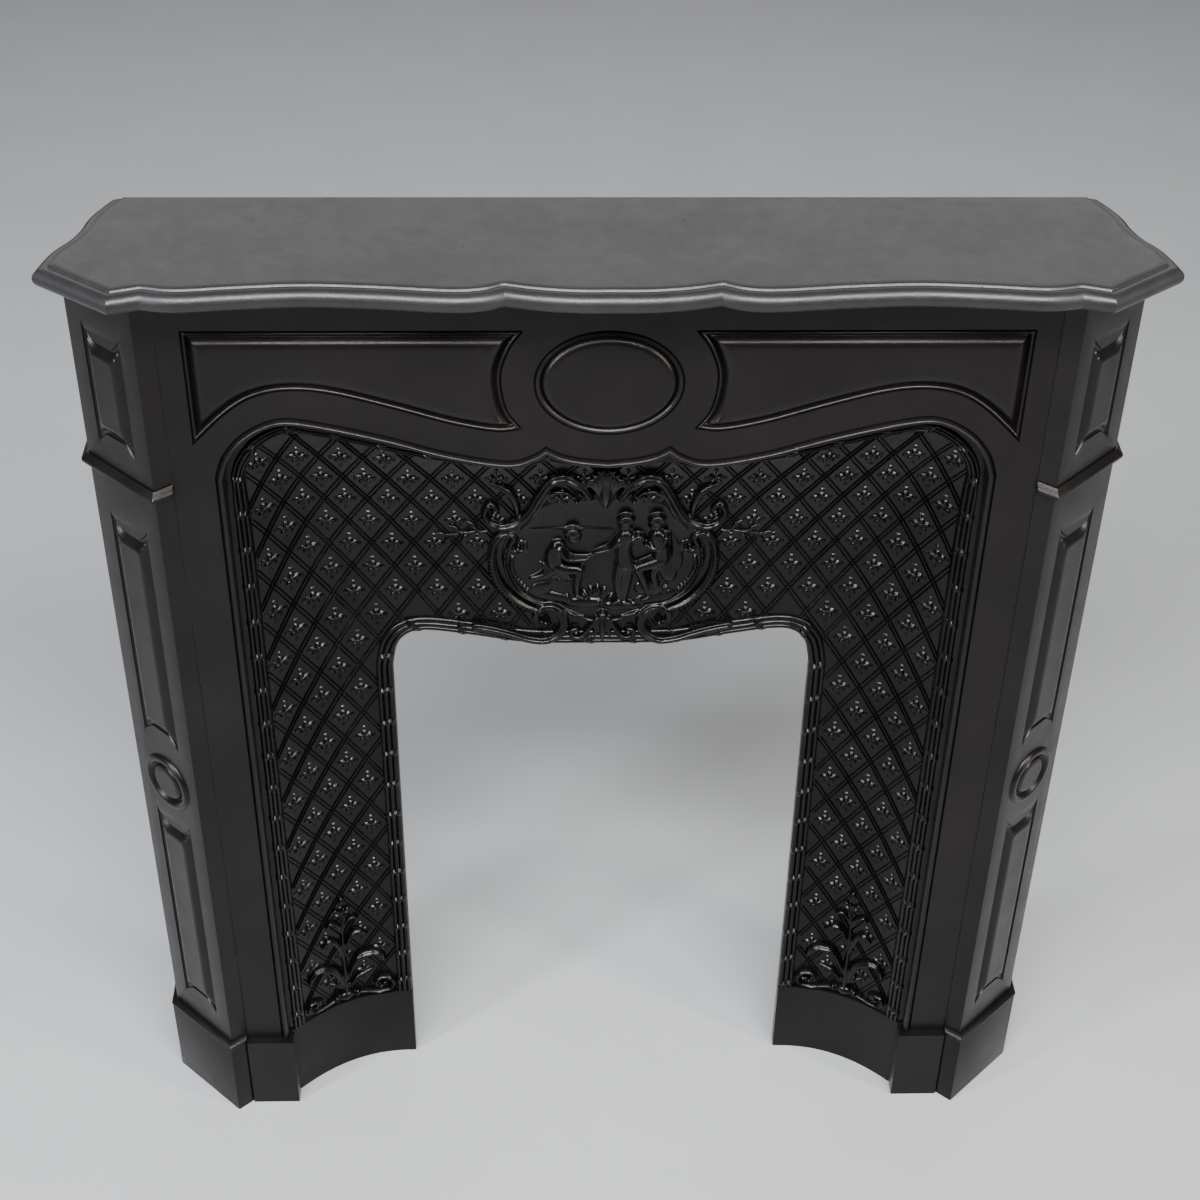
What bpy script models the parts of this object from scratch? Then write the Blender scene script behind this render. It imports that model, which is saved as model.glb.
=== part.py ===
"""Cast-iron fireplace surround with a coved ornamental insert.

Metres, +Z up. The origin is on the floor, under the middle of the shelf's depth.
The front looks along -Y, the back faces +Y.
Places in plan are (x, y), places on the front are (x, z). Tables of free curves and
carving hold shares of a named size, so that they grow with it.
"""
import math

import bmesh
import bpy
import numpy as np
from mathutils import Vector
from mathutils.geometry import delaunay_2d_cdt, tessellate_polygon

# Driving sizes
FLOOR_TO_SHELF = 1.110
SHELF_TALL = 0.046
BODY_TOP = FLOOR_TO_SHELF - SHELF_TALL
PLATE_HALF = 0.400
PLINTH_TALL = 0.103
IRON = 0.008
GAP = 0.0003

# Front plate: its opening has a serpentine top edge that dips in the middle
JAMB_FACE = 0.039
OPENING_HALF = PLATE_HALF - JAMB_FACE
FRIEZE_TALL = 0.1665
OPENING_DIP = BODY_TOP - FRIEZE_TALL
OPENING_WAVE = 0.047
BEAD_WIDTH = 0.0085
BEAD_RISE = 0.0040
JAMB_PLINTH_OUT = 0.009
JAMB_PLINTH_LAP = 0.0136
JAMB_PLINTH_INNER = OPENING_HALF - JAMB_PLINTH_LAP
# Shares of the opening's half width and of its wave above the dip
OPENING_MIDDLE = ((0.0, 0.0), (0.072, 0.064), (0.122, 0.170), (0.158, 0.330))
OPENING_SWELL = ((0.158, 0.330), (0.194, 0.128), (0.260, 0.0), (0.402, 0.202), (0.551, 0.564),
                 (0.698, 0.862), (0.801, 1.0), (0.864, 0.904), (0.931, 0.574), (0.978, 0.106),
                 (1.0, -0.372))
# Shares of the bead's width and rise
BEAD_SECTION = ((0.0, 0.0), (0.14, -0.35), (0.28, 0.35), (0.59, 1.0), (0.89, 0.40), (1.0, -0.62))

# Frieze: an oval between two fielded panels
PANEL_TOP_MARGIN = 0.029
PANEL_TOP = BODY_TOP - PANEL_TOP_MARGIN
PANEL_SIDE_MARGIN = 0.0225
PANEL_OUTER = PLATE_HALF - PANEL_SIDE_MARGIN
PANEL_SLOPE = 0.0160
PANEL_RISE = 0.0030
OVAL_HALF_WIDTH = 0.068
OVAL_HALF_TALL = 0.055
OVAL_HEIGHT = PANEL_TOP - OVAL_HALF_TALL
OVAL_SLOPE = 0.0120
OVAL_RISE = 0.0016
PANEL_CLEAR_TOP = 0.0075
PANEL_CLEAR_WAIST = 0.0285
PANEL_CLEAR_TIP = 0.0095
# Shares of the panel's width from its inner tip, and of the opening's wave above the dip
PANEL_BOTTOM = ((0.0, 0.713), (0.085, 0.660), (0.222, 0.840), (0.398, 1.202), (0.575, 1.521),
                (0.698, 1.596), (0.802, 1.457), (0.892, 1.074), (1.0, 0.372))

# Canted pilasters
CORNER_OUT = 0.016
CORNER_X = PLATE_HALF + CORNER_OUT
CORNER_Y = -0.012
CANT_WIDE = 0.070
CANT_DEEP = 0.066
CANT_X = CORNER_X + CANT_WIDE
CANT_Y = CORNER_Y + CANT_DEEP
RETURN_DEEP = 0.031
BODY_BACK = CANT_Y + RETURN_DEEP
STRING_DROP = 0.197
STRING_HEIGHT = BODY_TOP - STRING_DROP
STRING_TALL = 0.012
STRING_OUT = 0.0075
PLINTH_OUT = 0.006
PLINTH_BEAD_TALL = 0.007
FACE_MARGIN = 0.021
ROUNDEL_HEIGHT = 0.482
ROUNDEL_RADIUS = 0.034
ROUNDEL_SLOPE = 0.015
UPPER_PANEL = (STRING_HEIGHT + 0.025, BODY_TOP - 0.040)
LONG_PANEL = (ROUNDEL_HEIGHT + ROUNDEL_RADIUS + 0.021, STRING_HEIGHT - 0.051)
LOWER_PANEL = (PLINTH_TALL + 0.037, ROUNDEL_HEIGHT - ROUNDEL_RADIUS - 0.016)
LOBE_HALF = 0.012
LOBE_RISE = 0.011
CANT_PANEL_SLOPE = 0.0150
CANT_PANEL_RISE = 0.0032

# Shelf: serpentine front, canted corners and ends that draw in towards the wall
SHELF_CUT = 0.010
SHELF_CORNER_X = CANT_X - SHELF_CUT
SHELF_CORNER_Y = -0.018
SHELF_FRONT_X = CORNER_X + 0.002
SHELF_FRONT_Y = -0.061
SHELF_CUSP_X = PLATE_HALF - 0.0055
SHELF_WAVE = 0.0125
SHELF_DRAW_IN = 0.044
SHELF_BACK_X = SHELF_CORNER_X - SHELF_DRAW_IN
SHELF_BACK_Y = 0.1055
SHELF_PLATE = 0.010
NOSING_RADIUS = 0.009
NOSING_OUT = 0.0040
NOSING_DROP = 0.0015
SOFFIT_STEP = 0.0025
SOFFIT_DROP = NOSING_DROP + 2 * NOSING_RADIUS + SOFFIT_STEP
BED_OUT = 0.010
BED_FILLET = 0.002
BED_START = 0.62  # share of the cant's depth where the bed moulding meets the end
# Shares of the cusp's distance from the middle, and of the wave behind the front
SHELF_MIDDLE = ((0.0, 0.08), (0.076, 0.096), (0.157, 0.40), (0.234, 1.0))
SHELF_SWELL = ((0.234, 1.0), (0.284, 0.32), (0.355, 0.16), (0.507, 0.64), (0.659, 0.904), (0.811, 0.56),
               (0.925, 0.20), (1.0, 0.60))
# Shares of the way in and of the way back, from the corner to the wall
SHELF_END = ((0.068, 0.105), (0.182, 0.227), (0.432, 0.389), (0.580, 0.551), (0.659, 0.713), (0.795, 0.842))

# Coved insert: its ground runs back from the border to the fire opening
FLANGE_LAP = 0.013
FLANGE_HALF = OPENING_HALF + FLANGE_LAP
FLANGE_TOP_LAP = 0.0175
FLANGE_TOP = OPENING_DIP + OPENING_WAVE + FLANGE_TOP_LAP
FLANGE_CORNER = 0.030
FOOT_LAP = 0.003
FOOT_STEP = 0.004
LEG_WIDE = 0.1465
FIRE_HALF = OPENING_HALF - LEG_WIDE
ARCH_TALL = 0.2705
FIRE_TOP = OPENING_DIP - ARCH_TALL
FIRE_WAVE = 0.016
FIRE_CORNER = 0.030
COVE_FRONT_Y = IRON + GAP
COVE_DEEP = 0.0622
COVE_POWER = 2.3
COVE_CROWN = OPENING_DIP + 0.53 * OPENING_WAVE
LATTICE_WIDE = 0.0410
LATTICE_TALL = 0.0630
RIB_RISE = 0.0022
FLOWER_RISE = 0.0036
BORDER_GAP = 0.002
BORDER_WIDE = 0.011
BORDER_RISE = 0.004
COVED_PLINTH_OUT = 0.004
COVED_PLINTH_OUTER = JAMB_PLINTH_INNER - GAP
# Shares of the fire opening's half width and of its wave above the middle
FIRE_ARCH = ((0.0, -0.125), (0.233, -0.125), (0.387, 0.0), (0.606, 0.5625), (0.811, 1.0),
             (0.909, 0.8125), (0.972, -0.125))

# Carving of the cartouche, in hundredths of its half width from its middle
CARTOUCHE_HALF = 0.116
CARTOUCHE_UNIT = 0.01 * CARTOUCHE_HALF
CARTOUCHE_MIDDLE = FIRE_TOP + 0.92 * CARTOUCHE_HALF
SCROLL_RISE = 0.010
FIGURE_RISE = 0.009
# Places along each stroke of the right half, then its radius and its share of the rise
SCROLLS = (
    (((13, 64), (19, 73), (26, 79), (35, 82), (46, 79), (53, 67), (63, 49), (75, 38), (87, 35), (97, 41),
      (100, 50), (95, 57), (90, 52)), 4.4, 1.0),
    (((72, 45), (74, 58), (78, 68), (86, 73), (94, 77)), 3.0, 0.8),
    (((66, 18), (68, 12), (74, 9), (80, 15), (76, 25), (84, 29), (92, 21), (95, 5), (93, -12), (87, -27),
      (77, -40), (65, -49), (56, -53)), 4.0, 0.9),
    (((110, -69), (95, -72), (80, -77), (65, -83), (50, -85), (40, -79), (34, -68), (37, -55), (46, -49),
      (55, -53), (58, -62), (53, -68)), 4.4, 1.0),
    (((46, -50), (32, -53), (17, -62), (8, -64)), 2.4, 0.6),
    (((0, 60), (8, 72), (12, 84)), 3.6, 0.9),
)
MIDDLE_LEAVES = ((((0, 57), (1, 74), (3, 92)), 4.0, 1.15), (((0, -56), (0, -70), (0, -84)), 4.0, 1.0))
# Limbs and bodies of the three children: places along each, then its radius and share of the rise
CHILDREN = (
    (((-39, 15), (-42, 5), (-40, -5)), 7.0, 0.85), (((-37, 15), (-33, 7), (-26, 3), (-15, 3)), 3.0, 1.0),
    (((-40, -4), (-21, -8)), 5.0, 1.0), (((-21, -9), (-22, -34)), 3.8, 0.9),
    (((-44, -9), (-61, -18)), 4.0, 0.7),
    (((18, 26), (16, 12), (18, -2)), 6.6, 0.9), (((12, 23), (5, 15), (-8, 9)), 2.8, 0.9),
    (((24, 24), (33, 25)), 2.8, 0.8), (((15, -3), (12, -21), (14, -41)), 4.0, 0.85),
    (((22, -3), (20, -22), (18, -43)), 3.8, 0.8),
    (((45, 26), (48, 14), (50, 3)), 7.0, 0.9), (((52, 27), (48, 18), (42, 15), (35, 18)), 3.0, 1.0),
    (((49, 2), (29, -6)), 5.4, 1.0), (((29, -7), (34, -19), (40, -37)), 3.8, 0.9),
    (((-50, -40), (-20, -46), (17, -50), (50, -42)), 5.0, 0.4), (((56, 24), (60, -2), (58, -24)), 4.5, 0.5),
)
HEADS = ((-26, 27, 8.0), (17, 39, 7.6), (43, 39, 7.6))

# Foot spray, in hundredths of its height from its stem's foot on the plinth
SPRAY_TALL = 0.142
SPRAY_UNIT = 0.01 * SPRAY_TALL
SPRAY_X = FIRE_HALF + 0.45 * LEG_WIDE
SPRAY_RISE = 0.008
SPRAY_STEM = (((0, 8), (1, 34), (-1, 60), (0, 90)), 2.4, 0.9)
# One side of the spray: leaves up the stem, and the volute at its foot
SPRAY_LEAVES = (
    (((2, 17), (9, 30), (19, 32), (25, 25)), 3.8, 1.0), (((2, 33), (7, 49), (16, 51), (21, 43)), 3.4, 0.9),
    (((1, 51), (6, 65), (13, 67), (17, 60)), 3.0, 0.8), (((1, 68), (5, 80), (11, 81)), 2.4, 0.7),
    (((6, 4), (16, 3), (27, 5), (32, 11), (28, 17), (22, 15)), 2.8, 1.0),
)
SPRAY_BUD = (0, 95, 3.6)

# Rings of each fielded panel: shares of its slope inward and of its rise out of the face
PANEL_RINGS = ((0.0, 0.0), (0.09, -0.60), (0.25, 0.20), (0.36, -0.67), (1.0, 1.0))
CANT_PANEL_RINGS = ((0.0, 0.0), (0.10, -0.50), (0.30, -0.50), (1.0, 1.0))
ROUNDEL_RINGS = ((0.0, 0.0), (0.20, 1.0), (0.53, 1.0), (0.80, -0.44), (1.0, 0.875))
OVAL_RINGS = ((0.0, 0.0), (0.125, -1.1), (0.375, 0.75), (0.54, -1.0), (1.0, 1.0))


def clear_scene():
    for thing in list(bpy.data.objects):
        bpy.data.objects.remove(thing, do_unlink=True)


def iron(name, tone, rough):
    """Blackened cast iron: a dark grey with a soft metallic sheen."""
    material = bpy.data.materials.new(name)
    material.use_nodes = True
    shader = material.node_tree.nodes["Principled BSDF"]
    shader.inputs["Base Color"].default_value = (tone, tone, tone, 1.0)
    shader.inputs["Metallic"].default_value = 0.6
    shader.inputs["Roughness"].default_value = rough
    return material


def make_object(name, bm, material):
    bmesh.ops.remove_doubles(bm, verts=bm.verts, dist=1e-6)
    bmesh.ops.recalc_face_normals(bm, faces=bm.faces)
    mesh = bpy.data.meshes.new(name)
    bm.to_mesh(mesh)
    bm.free()
    thing = bpy.data.objects.new(name, mesh)
    bpy.context.collection.objects.link(thing)
    if material:
        mesh.materials.append(material)
    return thing


def unite(thing, extra):
    """Joins an extra solid to the thing with an exact Boolean."""
    extra.hide_render = True
    extra.display_type = 'WIRE'
    union = thing.modifiers.new("union " + extra.name, 'BOOLEAN')
    union.operation = 'UNION'
    union.solver = 'EXACT'
    union.object = extra


def smooth_path(points, steps):
    """Catmull-Rom curve through 2D points, with the given steps in each span."""
    pts = [np.array(p, float) for p in points]
    ends = [2 * pts[0] - pts[1]] + pts + [2 * pts[-1] - pts[-2]]
    out = []
    for i in range(1, len(ends) - 2):
        a, b, c, d = ends[i - 1:i + 3]
        for k in range(steps):
            t = k / steps
            out.append(0.5 * (2 * b + (c - a) * t + (2 * a - 5 * b + 4 * c - d) * t ** 2
                              + (3 * b - a - 3 * c + d) * t ** 3))
    out.append(pts[-1])
    return out


def even_path(points, spacing):
    """The same line, with points at even steps along it."""
    pts = np.array(points, float)
    run = np.concatenate([[0.0], np.cumsum(np.hypot(*np.diff(pts, axis=0).T))])
    at = np.linspace(0.0, run[-1], max(2, int(round(run[-1] / spacing)) + 1))
    return [np.array(p) for p in zip(np.interp(at, run, pts[:, 0]), np.interp(at, run, pts[:, 1]))]


def offset_path(points, distance, closed=False):
    """Moves a 2D path to its left by a distance, with mitred corners."""
    pts = np.array(points, float)
    count = len(pts)
    out = []
    for i in range(count):
        before = pts[i] - pts[i - 1] if (closed or i > 0) else pts[1] - pts[0]
        after = pts[(i + 1) % count] - pts[i] if (closed or i < count - 1) else pts[-1] - pts[-2]
        before = before / np.hypot(*before)
        after = after / np.hypot(*after)
        normal = np.array([-before[1] - after[1], before[0] + after[0]])
        normal = normal / np.hypot(*normal)
        spread = max(0.35, float(normal @ np.array([-before[1], before[0]])))
        out.append(pts[i] + normal * distance / spread)
    return out


def edge_distance(path, x, z):
    """Distance from a place to the nearest point of a path."""
    pts = np.array(path, float)
    a = pts[:-1]
    d = pts[1:] - a
    p = np.array((x, z))
    t = np.clip(((p - a) * d).sum(1) / (d * d).sum(1), 0, 1)
    return float(np.min(np.hypot(*(a + d * t[:, None] - p).T)))


def inset_path(path, distance):
    """Moves a closed path inward, and draws in the points that a sharp corner swallows."""
    if not distance:
        return [np.array(p, float) for p in path]
    moved = offset_path(path, distance, closed=True)
    ring = list(path) + [path[0]]
    sound = [edge_distance(ring, p[0], p[1]) > 0.93 * distance for p in moved]
    count = len(moved)
    for i in range(count):
        if sound[i]:
            continue
        for step in range(1, count):
            if sound[(i + step) % count]:
                moved[i] = moved[(i + step) % count]
                break
            if sound[i - step]:
                moved[i] = moved[i - step]
                break
    return moved


def mirror_path(points):
    """The same path on the other side of the middle, drawn in reverse."""
    return [np.array((-p[0], p[1])) for p in reversed(points)]


def inside(path, x, z):
    """Whether a place lies within a closed path."""
    hit = False
    j = len(path) - 1
    for i in range(len(path)):
        (x1, z1), (x2, z2) = path[i], path[j]
        if (z1 > z) != (z2 > z) and x < (x2 - x1) * (z - z1) / (z2 - z1) + x1:
            hit = not hit
        j = i
    return hit


def bridge(bm, first, second, closed=True):
    count = len(first)
    spans = count if closed else count - 1
    for i in range(spans):
        j = (i + 1) % count
        bm.faces.new((first[i], first[j], second[j], second[i]))


def cap(bm, rings):
    """Fills a flat face between an outer ring and any holes in it."""
    flat = [v for ring in rings for v in ring[0]]
    shapes = [[Vector((p[0], p[1], 0.0)) for p in ring[1]] for ring in rings]
    for tri in tessellate_polygon(shapes):
        bm.faces.new([flat[i] for i in tri])


def raise_panel(bm, path, rings, slope, rise, place):
    """Builds a fielded panel inside a closed path, and returns its edge ring."""
    loops = []
    paths = []
    for inward, outward in rings:
        shape = inset_path(path, inward * slope)
        paths.append(shape)
        loops.append([bm.verts.new(place(p[0], p[1], outward * rise)) for p in shape])
    for a, b in zip(loops, loops[1:]):
        bridge(bm, a, b)
    cap(bm, [(loops[-1], paths[-1])])
    return loops[0], paths[0]


def block(name, plan, low, high):
    """A prism over a plan outline."""
    bm = bmesh.new()
    bottom = [bm.verts.new((x, y, low)) for x, y in plan]
    top = [bm.verts.new((x, y, high)) for x, y in plan]
    bridge(bm, bottom, top)
    cap(bm, [(bottom, plan)])
    cap(bm, [(top, plan)])
    return make_object(name, bm, None)


def opening_half():
    """Right half of the opening's top edge, from the middle out to the jamb."""
    def place(shares):
        return [(u * OPENING_HALF, OPENING_DIP + v * OPENING_WAVE) for u, v in shares]

    return smooth_path(place(OPENING_MIDDLE), 2)[:-1] + smooth_path(place(OPENING_SWELL), 2)


def opening_path(foot):
    half = opening_half() + [np.array((OPENING_HALF, foot))]
    return mirror_path(half)[:-1] + half


def frieze_panel():
    """Right frieze panel: straight top, hollow side round the oval, serpentine bottom."""
    tip = OVAL_HALF_WIDTH + PANEL_CLEAR_TIP
    waist = OVAL_HALF_WIDTH + PANEL_CLEAR_WAIST
    top = OVAL_HALF_WIDTH + PANEL_CLEAR_TOP
    bottom = smooth_path([(tip + u * (PANEL_OUTER - tip), OPENING_DIP + v * OPENING_WAVE)
                          for u, v in PANEL_BOTTOM], 2)
    low = bottom[0][1]
    tall = PANEL_TOP - low
    side = smooth_path([(top, PANEL_TOP), (0.38 * top + 0.62 * waist, PANEL_TOP - 0.19 * tall),
                        (waist, low + 0.54 * tall), (0.26 * tip + 0.74 * waist, low + 0.21 * tall),
                        (tip, low)], 2)
    return bottom + [np.array((PANEL_OUTER, PANEL_TOP))] + side[:-1]


def build_front_plate(material):
    bm = bmesh.new()

    def place(x, z, out):
        return (x, -out, z)

    edge = opening_path(PLINTH_TALL)
    half = PLATE_HALF - GAP
    outer = [(-half, PLINTH_TALL), (-half, BODY_TOP), (half, BODY_TOP), (half, PLINTH_TALL)]
    right = frieze_panel()
    turn = np.linspace(0, 2 * math.pi, 33)[:-1]
    oval = [(OVAL_HALF_WIDTH * math.cos(a), OVAL_HEIGHT + OVAL_HALF_TALL * math.sin(a)) for a in turn]
    holes = [raise_panel(bm, right, PANEL_RINGS, PANEL_SLOPE, PANEL_RISE, place),
             raise_panel(bm, mirror_path(right), PANEL_RINGS, PANEL_SLOPE, PANEL_RISE, place),
             raise_panel(bm, oval, OVAL_RINGS, OVAL_SLOPE, OVAL_RISE, place)]
    # The bead round the opening, as strips from the plate's face back to its inner edge
    section = [(u * BEAD_WIDTH, v * BEAD_RISE) for u, v in BEAD_SECTION] + [(BEAD_WIDTH, -IRON)]
    strips = []
    paths = []
    for inset, rise in section:
        shape = offset_path(edge, -inset) if inset else edge
        paths.append(shape)
        strips.append([bm.verts.new(place(p[0], p[1], rise)) for p in shape])
    for a, b in zip(strips, strips[1:]):
        bridge(bm, a, b, closed=False)
    face_ring = [bm.verts.new(place(p[0], p[1], 0.0)) for p in outer]
    cap(bm, [(face_ring + list(reversed(strips[0])), list(outer) + list(reversed(edge)))] + holes)
    back_ring = [bm.verts.new(place(p[0], p[1], -IRON)) for p in outer]
    cap(bm, [(back_ring + list(reversed(strips[-1])), list(outer) + list(reversed(paths[-1])))])
    bridge(bm, face_ring, back_ring, closed=False)
    # Each jamb stands on its plinth block, which is part of the same casting
    for end, side in ((0, -1), (-1, 1)):
        corners = {}
        for word, x, y in (("back out", side * half, IRON), ("back in", side * JAMB_PLINTH_INNER, IRON),
                           ("front in", side * JAMB_PLINTH_INNER, -JAMB_PLINTH_OUT),
                           ("front out", side * half, -JAMB_PLINTH_OUT)):
            top = back_ring[end] if word == "back out" else bm.verts.new((x, y, PLINTH_TALL))
            corners[word] = (bm.verts.new((x, y, 0.0)), top)
        ledge = [face_ring[end]] + [strip[end] for strip in strips]
        ledge += [corners[w][1] for w in ("back in", "front in", "front out")]
        cap(bm, [(ledge, [(v.co.x, v.co.y) for v in ledge])])
        for first, second in (("back in", "front in"), ("front in", "front out")):
            bm.faces.new((corners[first][0], corners[second][0], corners[second][1], corners[first][1]))
        bm.faces.new([corners[w][0] for w in ("back out", "back in", "front in", "front out")])
        bm.faces.new((corners["front out"][0], corners["back out"][0], back_ring[end],
                      face_ring[end], corners["front out"][1]))
        bm.faces.new((corners["back out"][0], corners["back in"][0], corners["back in"][1],
                      strips[-1][end], back_ring[end]))
    return make_object("front_plate", bm, material)


def lobed_panel(width, span):
    """A tall panel whose ends are hollowed by a lobe of the face round it."""
    low, high = span
    inner = FACE_MARGIN
    outer = width - FACE_MARGIN
    middle = 0.5 * width
    return [(inner, low), (middle - LOBE_HALF, low + LOBE_RISE), (middle + LOBE_HALF, low + LOBE_RISE),
            (outer, low), (outer, high), (middle + LOBE_HALF, high - LOBE_RISE),
            (middle - LOBE_HALF, high - LOBE_RISE), (inner, high)]


def pilaster_plan(out):
    """Outer line of the pilaster in plan, from the plate round to the side's back edge."""
    root = np.array((PLATE_HALF + GAP, 0.0))
    line = offset_path([root, (CORNER_X, CORNER_Y), (CANT_X, CANT_Y), (CANT_X, BODY_BACK)], -out)
    line[0] = root - (0.0, out)
    line[-1] = np.array((line[-1][0], BODY_BACK))
    return line


def pilaster_mouldings():
    """Reach and height up the pilaster: plinth, its bead, the shaft, the string and the top."""
    half = 0.5 * STRING_TALL
    return ((PLINTH_OUT, 0.0), (PLINTH_OUT, PLINTH_TALL),
            (1.17 * PLINTH_OUT, PLINTH_TALL + 0.3 * PLINTH_BEAD_TALL),
            (0.7 * PLINTH_OUT, PLINTH_TALL + 0.75 * PLINTH_BEAD_TALL),
            (0.0, PLINTH_TALL + PLINTH_BEAD_TALL),
            (0.0, STRING_HEIGHT - half), (0.6 * STRING_OUT, STRING_HEIGHT - half),
            (STRING_OUT, STRING_HEIGHT - 0.3 * half), (STRING_OUT, STRING_HEIGHT + 0.3 * half),
            (0.5 * STRING_OUT, STRING_HEIGHT + 0.8 * half), (0.0, STRING_HEIGHT + half), (0.0, BODY_TOP))


def build_pilaster(side, name, material):
    """One casting: the plan's line swept up its mouldings, with panels in the canted face."""
    bm = bmesh.new()
    start = np.array((CORNER_X, CORNER_Y))
    width = math.hypot(CANT_WIDE, CANT_DEEP)
    along = np.array((CANT_WIDE, CANT_DEEP)) / width
    normal = np.array((along[1], -along[0]))

    def place(s, z, out):
        x, y = start + along * s + normal * out
        return (side * x, y, z)

    mouldings = pilaster_mouldings()
    levels = []
    for reach, height in mouldings:
        levels.append([bm.verts.new((side * p[0], p[1], height)) for p in pilaster_plan(reach)])
    turn = np.linspace(0, 2 * math.pi, 25)[:-1]
    roundel = [(0.5 * width + ROUNDEL_RADIUS * math.cos(a), ROUNDEL_HEIGHT + ROUNDEL_RADIUS * math.sin(a))
               for a in turn]

    def cant_panel(span):
        return raise_panel(bm, lobed_panel(width, span), CANT_PANEL_RINGS, CANT_PANEL_SLOPE,
                           CANT_PANEL_RISE, place)

    shaft = [cant_panel(LONG_PANEL), cant_panel(LOWER_PANEL),
             raise_panel(bm, roundel, ROUNDEL_RINGS, ROUNDEL_SLOPE, CANT_PANEL_RISE, place)]
    # The canted face is the plan's second span, panelled on the shaft and above the string
    panelled = {4: shaft, 10: [cant_panel(UPPER_PANEL)]}
    for k, (below, above) in enumerate(zip(levels, levels[1:])):
        for i in range(3):
            if i == 1 and k in panelled:
                low, high = mouldings[k][1], mouldings[k + 1][1]
                flat = [(0.0, low), (width, low), (width, high), (0.0, high)]
                cap(bm, [([below[1], below[2], above[2], above[1]], flat)] + panelled[k])
            else:
                bm.faces.new((below[i], below[i + 1], above[i + 1], above[i]))
    core = pilaster_plan(-IRON)
    core[0] = np.array((PLATE_HALF + GAP, IRON))
    back = [[bm.verts.new((side * p[0], p[1], z)) for p in core] for z in (0.0, BODY_TOP)]
    for first, second in ((back[0], back[1]), (levels[0], back[0]), (levels[-1], back[1])):
        bridge(bm, first, second, closed=False)
    for i, axis in ((0, 1), (3, 0)):
        ring = [level[i] for level in levels] + [back[1][i], back[0][i]]
        cap(bm, [(ring, [(v.co[axis], v.co.z) for v in ring])])
    return make_object(name, bm, material)


def shelf_end():
    """Right end of the shelf, from the canted corner back to the wall."""
    deep = SHELF_BACK_Y - SHELF_CORNER_Y
    between = [(SHELF_CORNER_X - u * SHELF_DRAW_IN, SHELF_CORNER_Y + v * deep) for u, v in SHELF_END]
    return [(SHELF_CORNER_X, SHELF_CORNER_Y)] + between + [(SHELF_BACK_X, SHELF_BACK_Y)]


def shelf_half_outline():
    """Right half of the shelf's top edge, from the middle of the front to the back corner."""
    def place(shares):
        return [(u * SHELF_CUSP_X, SHELF_FRONT_Y + v * SHELF_WAVE) for u, v in shares]

    front = smooth_path(place(SHELF_MIDDLE), 2)[:-1] + smooth_path(place(SHELF_SWELL), 2)
    return front + [np.array(p) for p in [(SHELF_FRONT_X, SHELF_FRONT_Y)] + shelf_end()]


def body_point(p, out):
    """Where a point of the shelf's edge lands on the line of the body below it."""
    x, y = abs(p[0]), p[1]
    if x <= SHELF_CUSP_X + GAP and y < 0:
        q = (x / SHELF_CUSP_X * PLATE_HALF, -out)
    elif y <= SHELF_FRONT_Y:
        q = (CORNER_X + 0.1 * out, CORNER_Y - out)
    else:
        share = (y - SHELF_CORNER_Y) / (SHELF_BACK_Y - SHELF_CORNER_Y)
        start = CORNER_Y + BED_START * CANT_DEEP
        depth = start + share * (SHELF_BACK_Y - start)
        wall = min(0.0, out)
        end = shelf_end()
        q = (float(np.interp(depth, [e[1] for e in end], [e[0] for e in end])) + wall,
             min(depth, SHELF_BACK_Y + wall))
    return np.array((math.copysign(q[0], p[0]), q[1]))


def build_shelf(material):
    """A section of nosing, soffit and bed moulding carried round the outline, hollow below."""
    half = shelf_half_outline()
    outline = mirror_path(half)[:-1] + half

    def grown(distance):
        shape = offset_path(outline, -distance)
        for i in (0, -1):
            shape[i] = np.array((shape[i][0], SHELF_BACK_Y))
        return shape

    def body(out):
        return [body_point(p, out) for p in outline]

    top = FLOOR_TO_SHELF
    middle = top - NOSING_DROP - NOSING_RADIUS
    bed = top - SOFFIT_DROP - BED_FILLET
    levels = [(grown(0.0), top), (grown(0.25 * NOSING_OUT), top - NOSING_DROP)]
    for k in range(1, 6):
        a = math.pi * (0.5 - k / 5)
        levels.append((grown(NOSING_OUT + NOSING_RADIUS * math.cos(a)), middle + NOSING_RADIUS * math.sin(a)))
    levels += [(grown(-NOSING_OUT), top - SOFFIT_DROP), (body(BED_OUT), bed),
               (body(0.6 * BED_OUT), 0.6 * bed + 0.4 * (BODY_TOP + GAP)),
               (body(0.3 * BED_OUT), BODY_TOP + GAP), (body(-IRON), BODY_TOP + GAP),
               (body(-IRON), top - SHELF_PLATE)]
    bm = bmesh.new()
    loops = [[bm.verts.new((p[0], p[1], z)) for p in shape] for shape, z in levels]
    for a, b in zip(loops, loops[1:]):
        bridge(bm, a, b)
    cap(bm, [(loops[0], levels[0][0])])
    cap(bm, [(loops[-1], levels[-1][0])])
    return make_object("shelf", bm, material)


def crown_line():
    """Places along the opening's top edge, short of its steep shoulders."""
    half = np.array(opening_half())
    keep = half[:, 0] < 0.945 * OPENING_HALF
    return half[keep, 0], half[keep, 1]


CROWN_X, CROWN_Z = crown_line()


def cove(x, z):
    """Depth of the coved ground: shallow at the border, deepest at the fire opening."""
    edge = OPENING_HALF - BEAD_WIDTH
    a = min(1.0, max(0.0, (edge - abs(x)) / (edge - FIRE_HALF)))
    top = max(float(np.interp(abs(x), CROWN_X, CROWN_Z)), COVE_CROWN) - BEAD_WIDTH
    b = min(1.0, max(0.0, (top - z) / (top - FIRE_TOP)))
    s = min(1.0, ((1 - a) ** 6 + (1 - b) ** 6) ** (1 / 6))
    return COVE_FRONT_Y + COVE_DEEP * (1 - s ** COVE_POWER)


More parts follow.
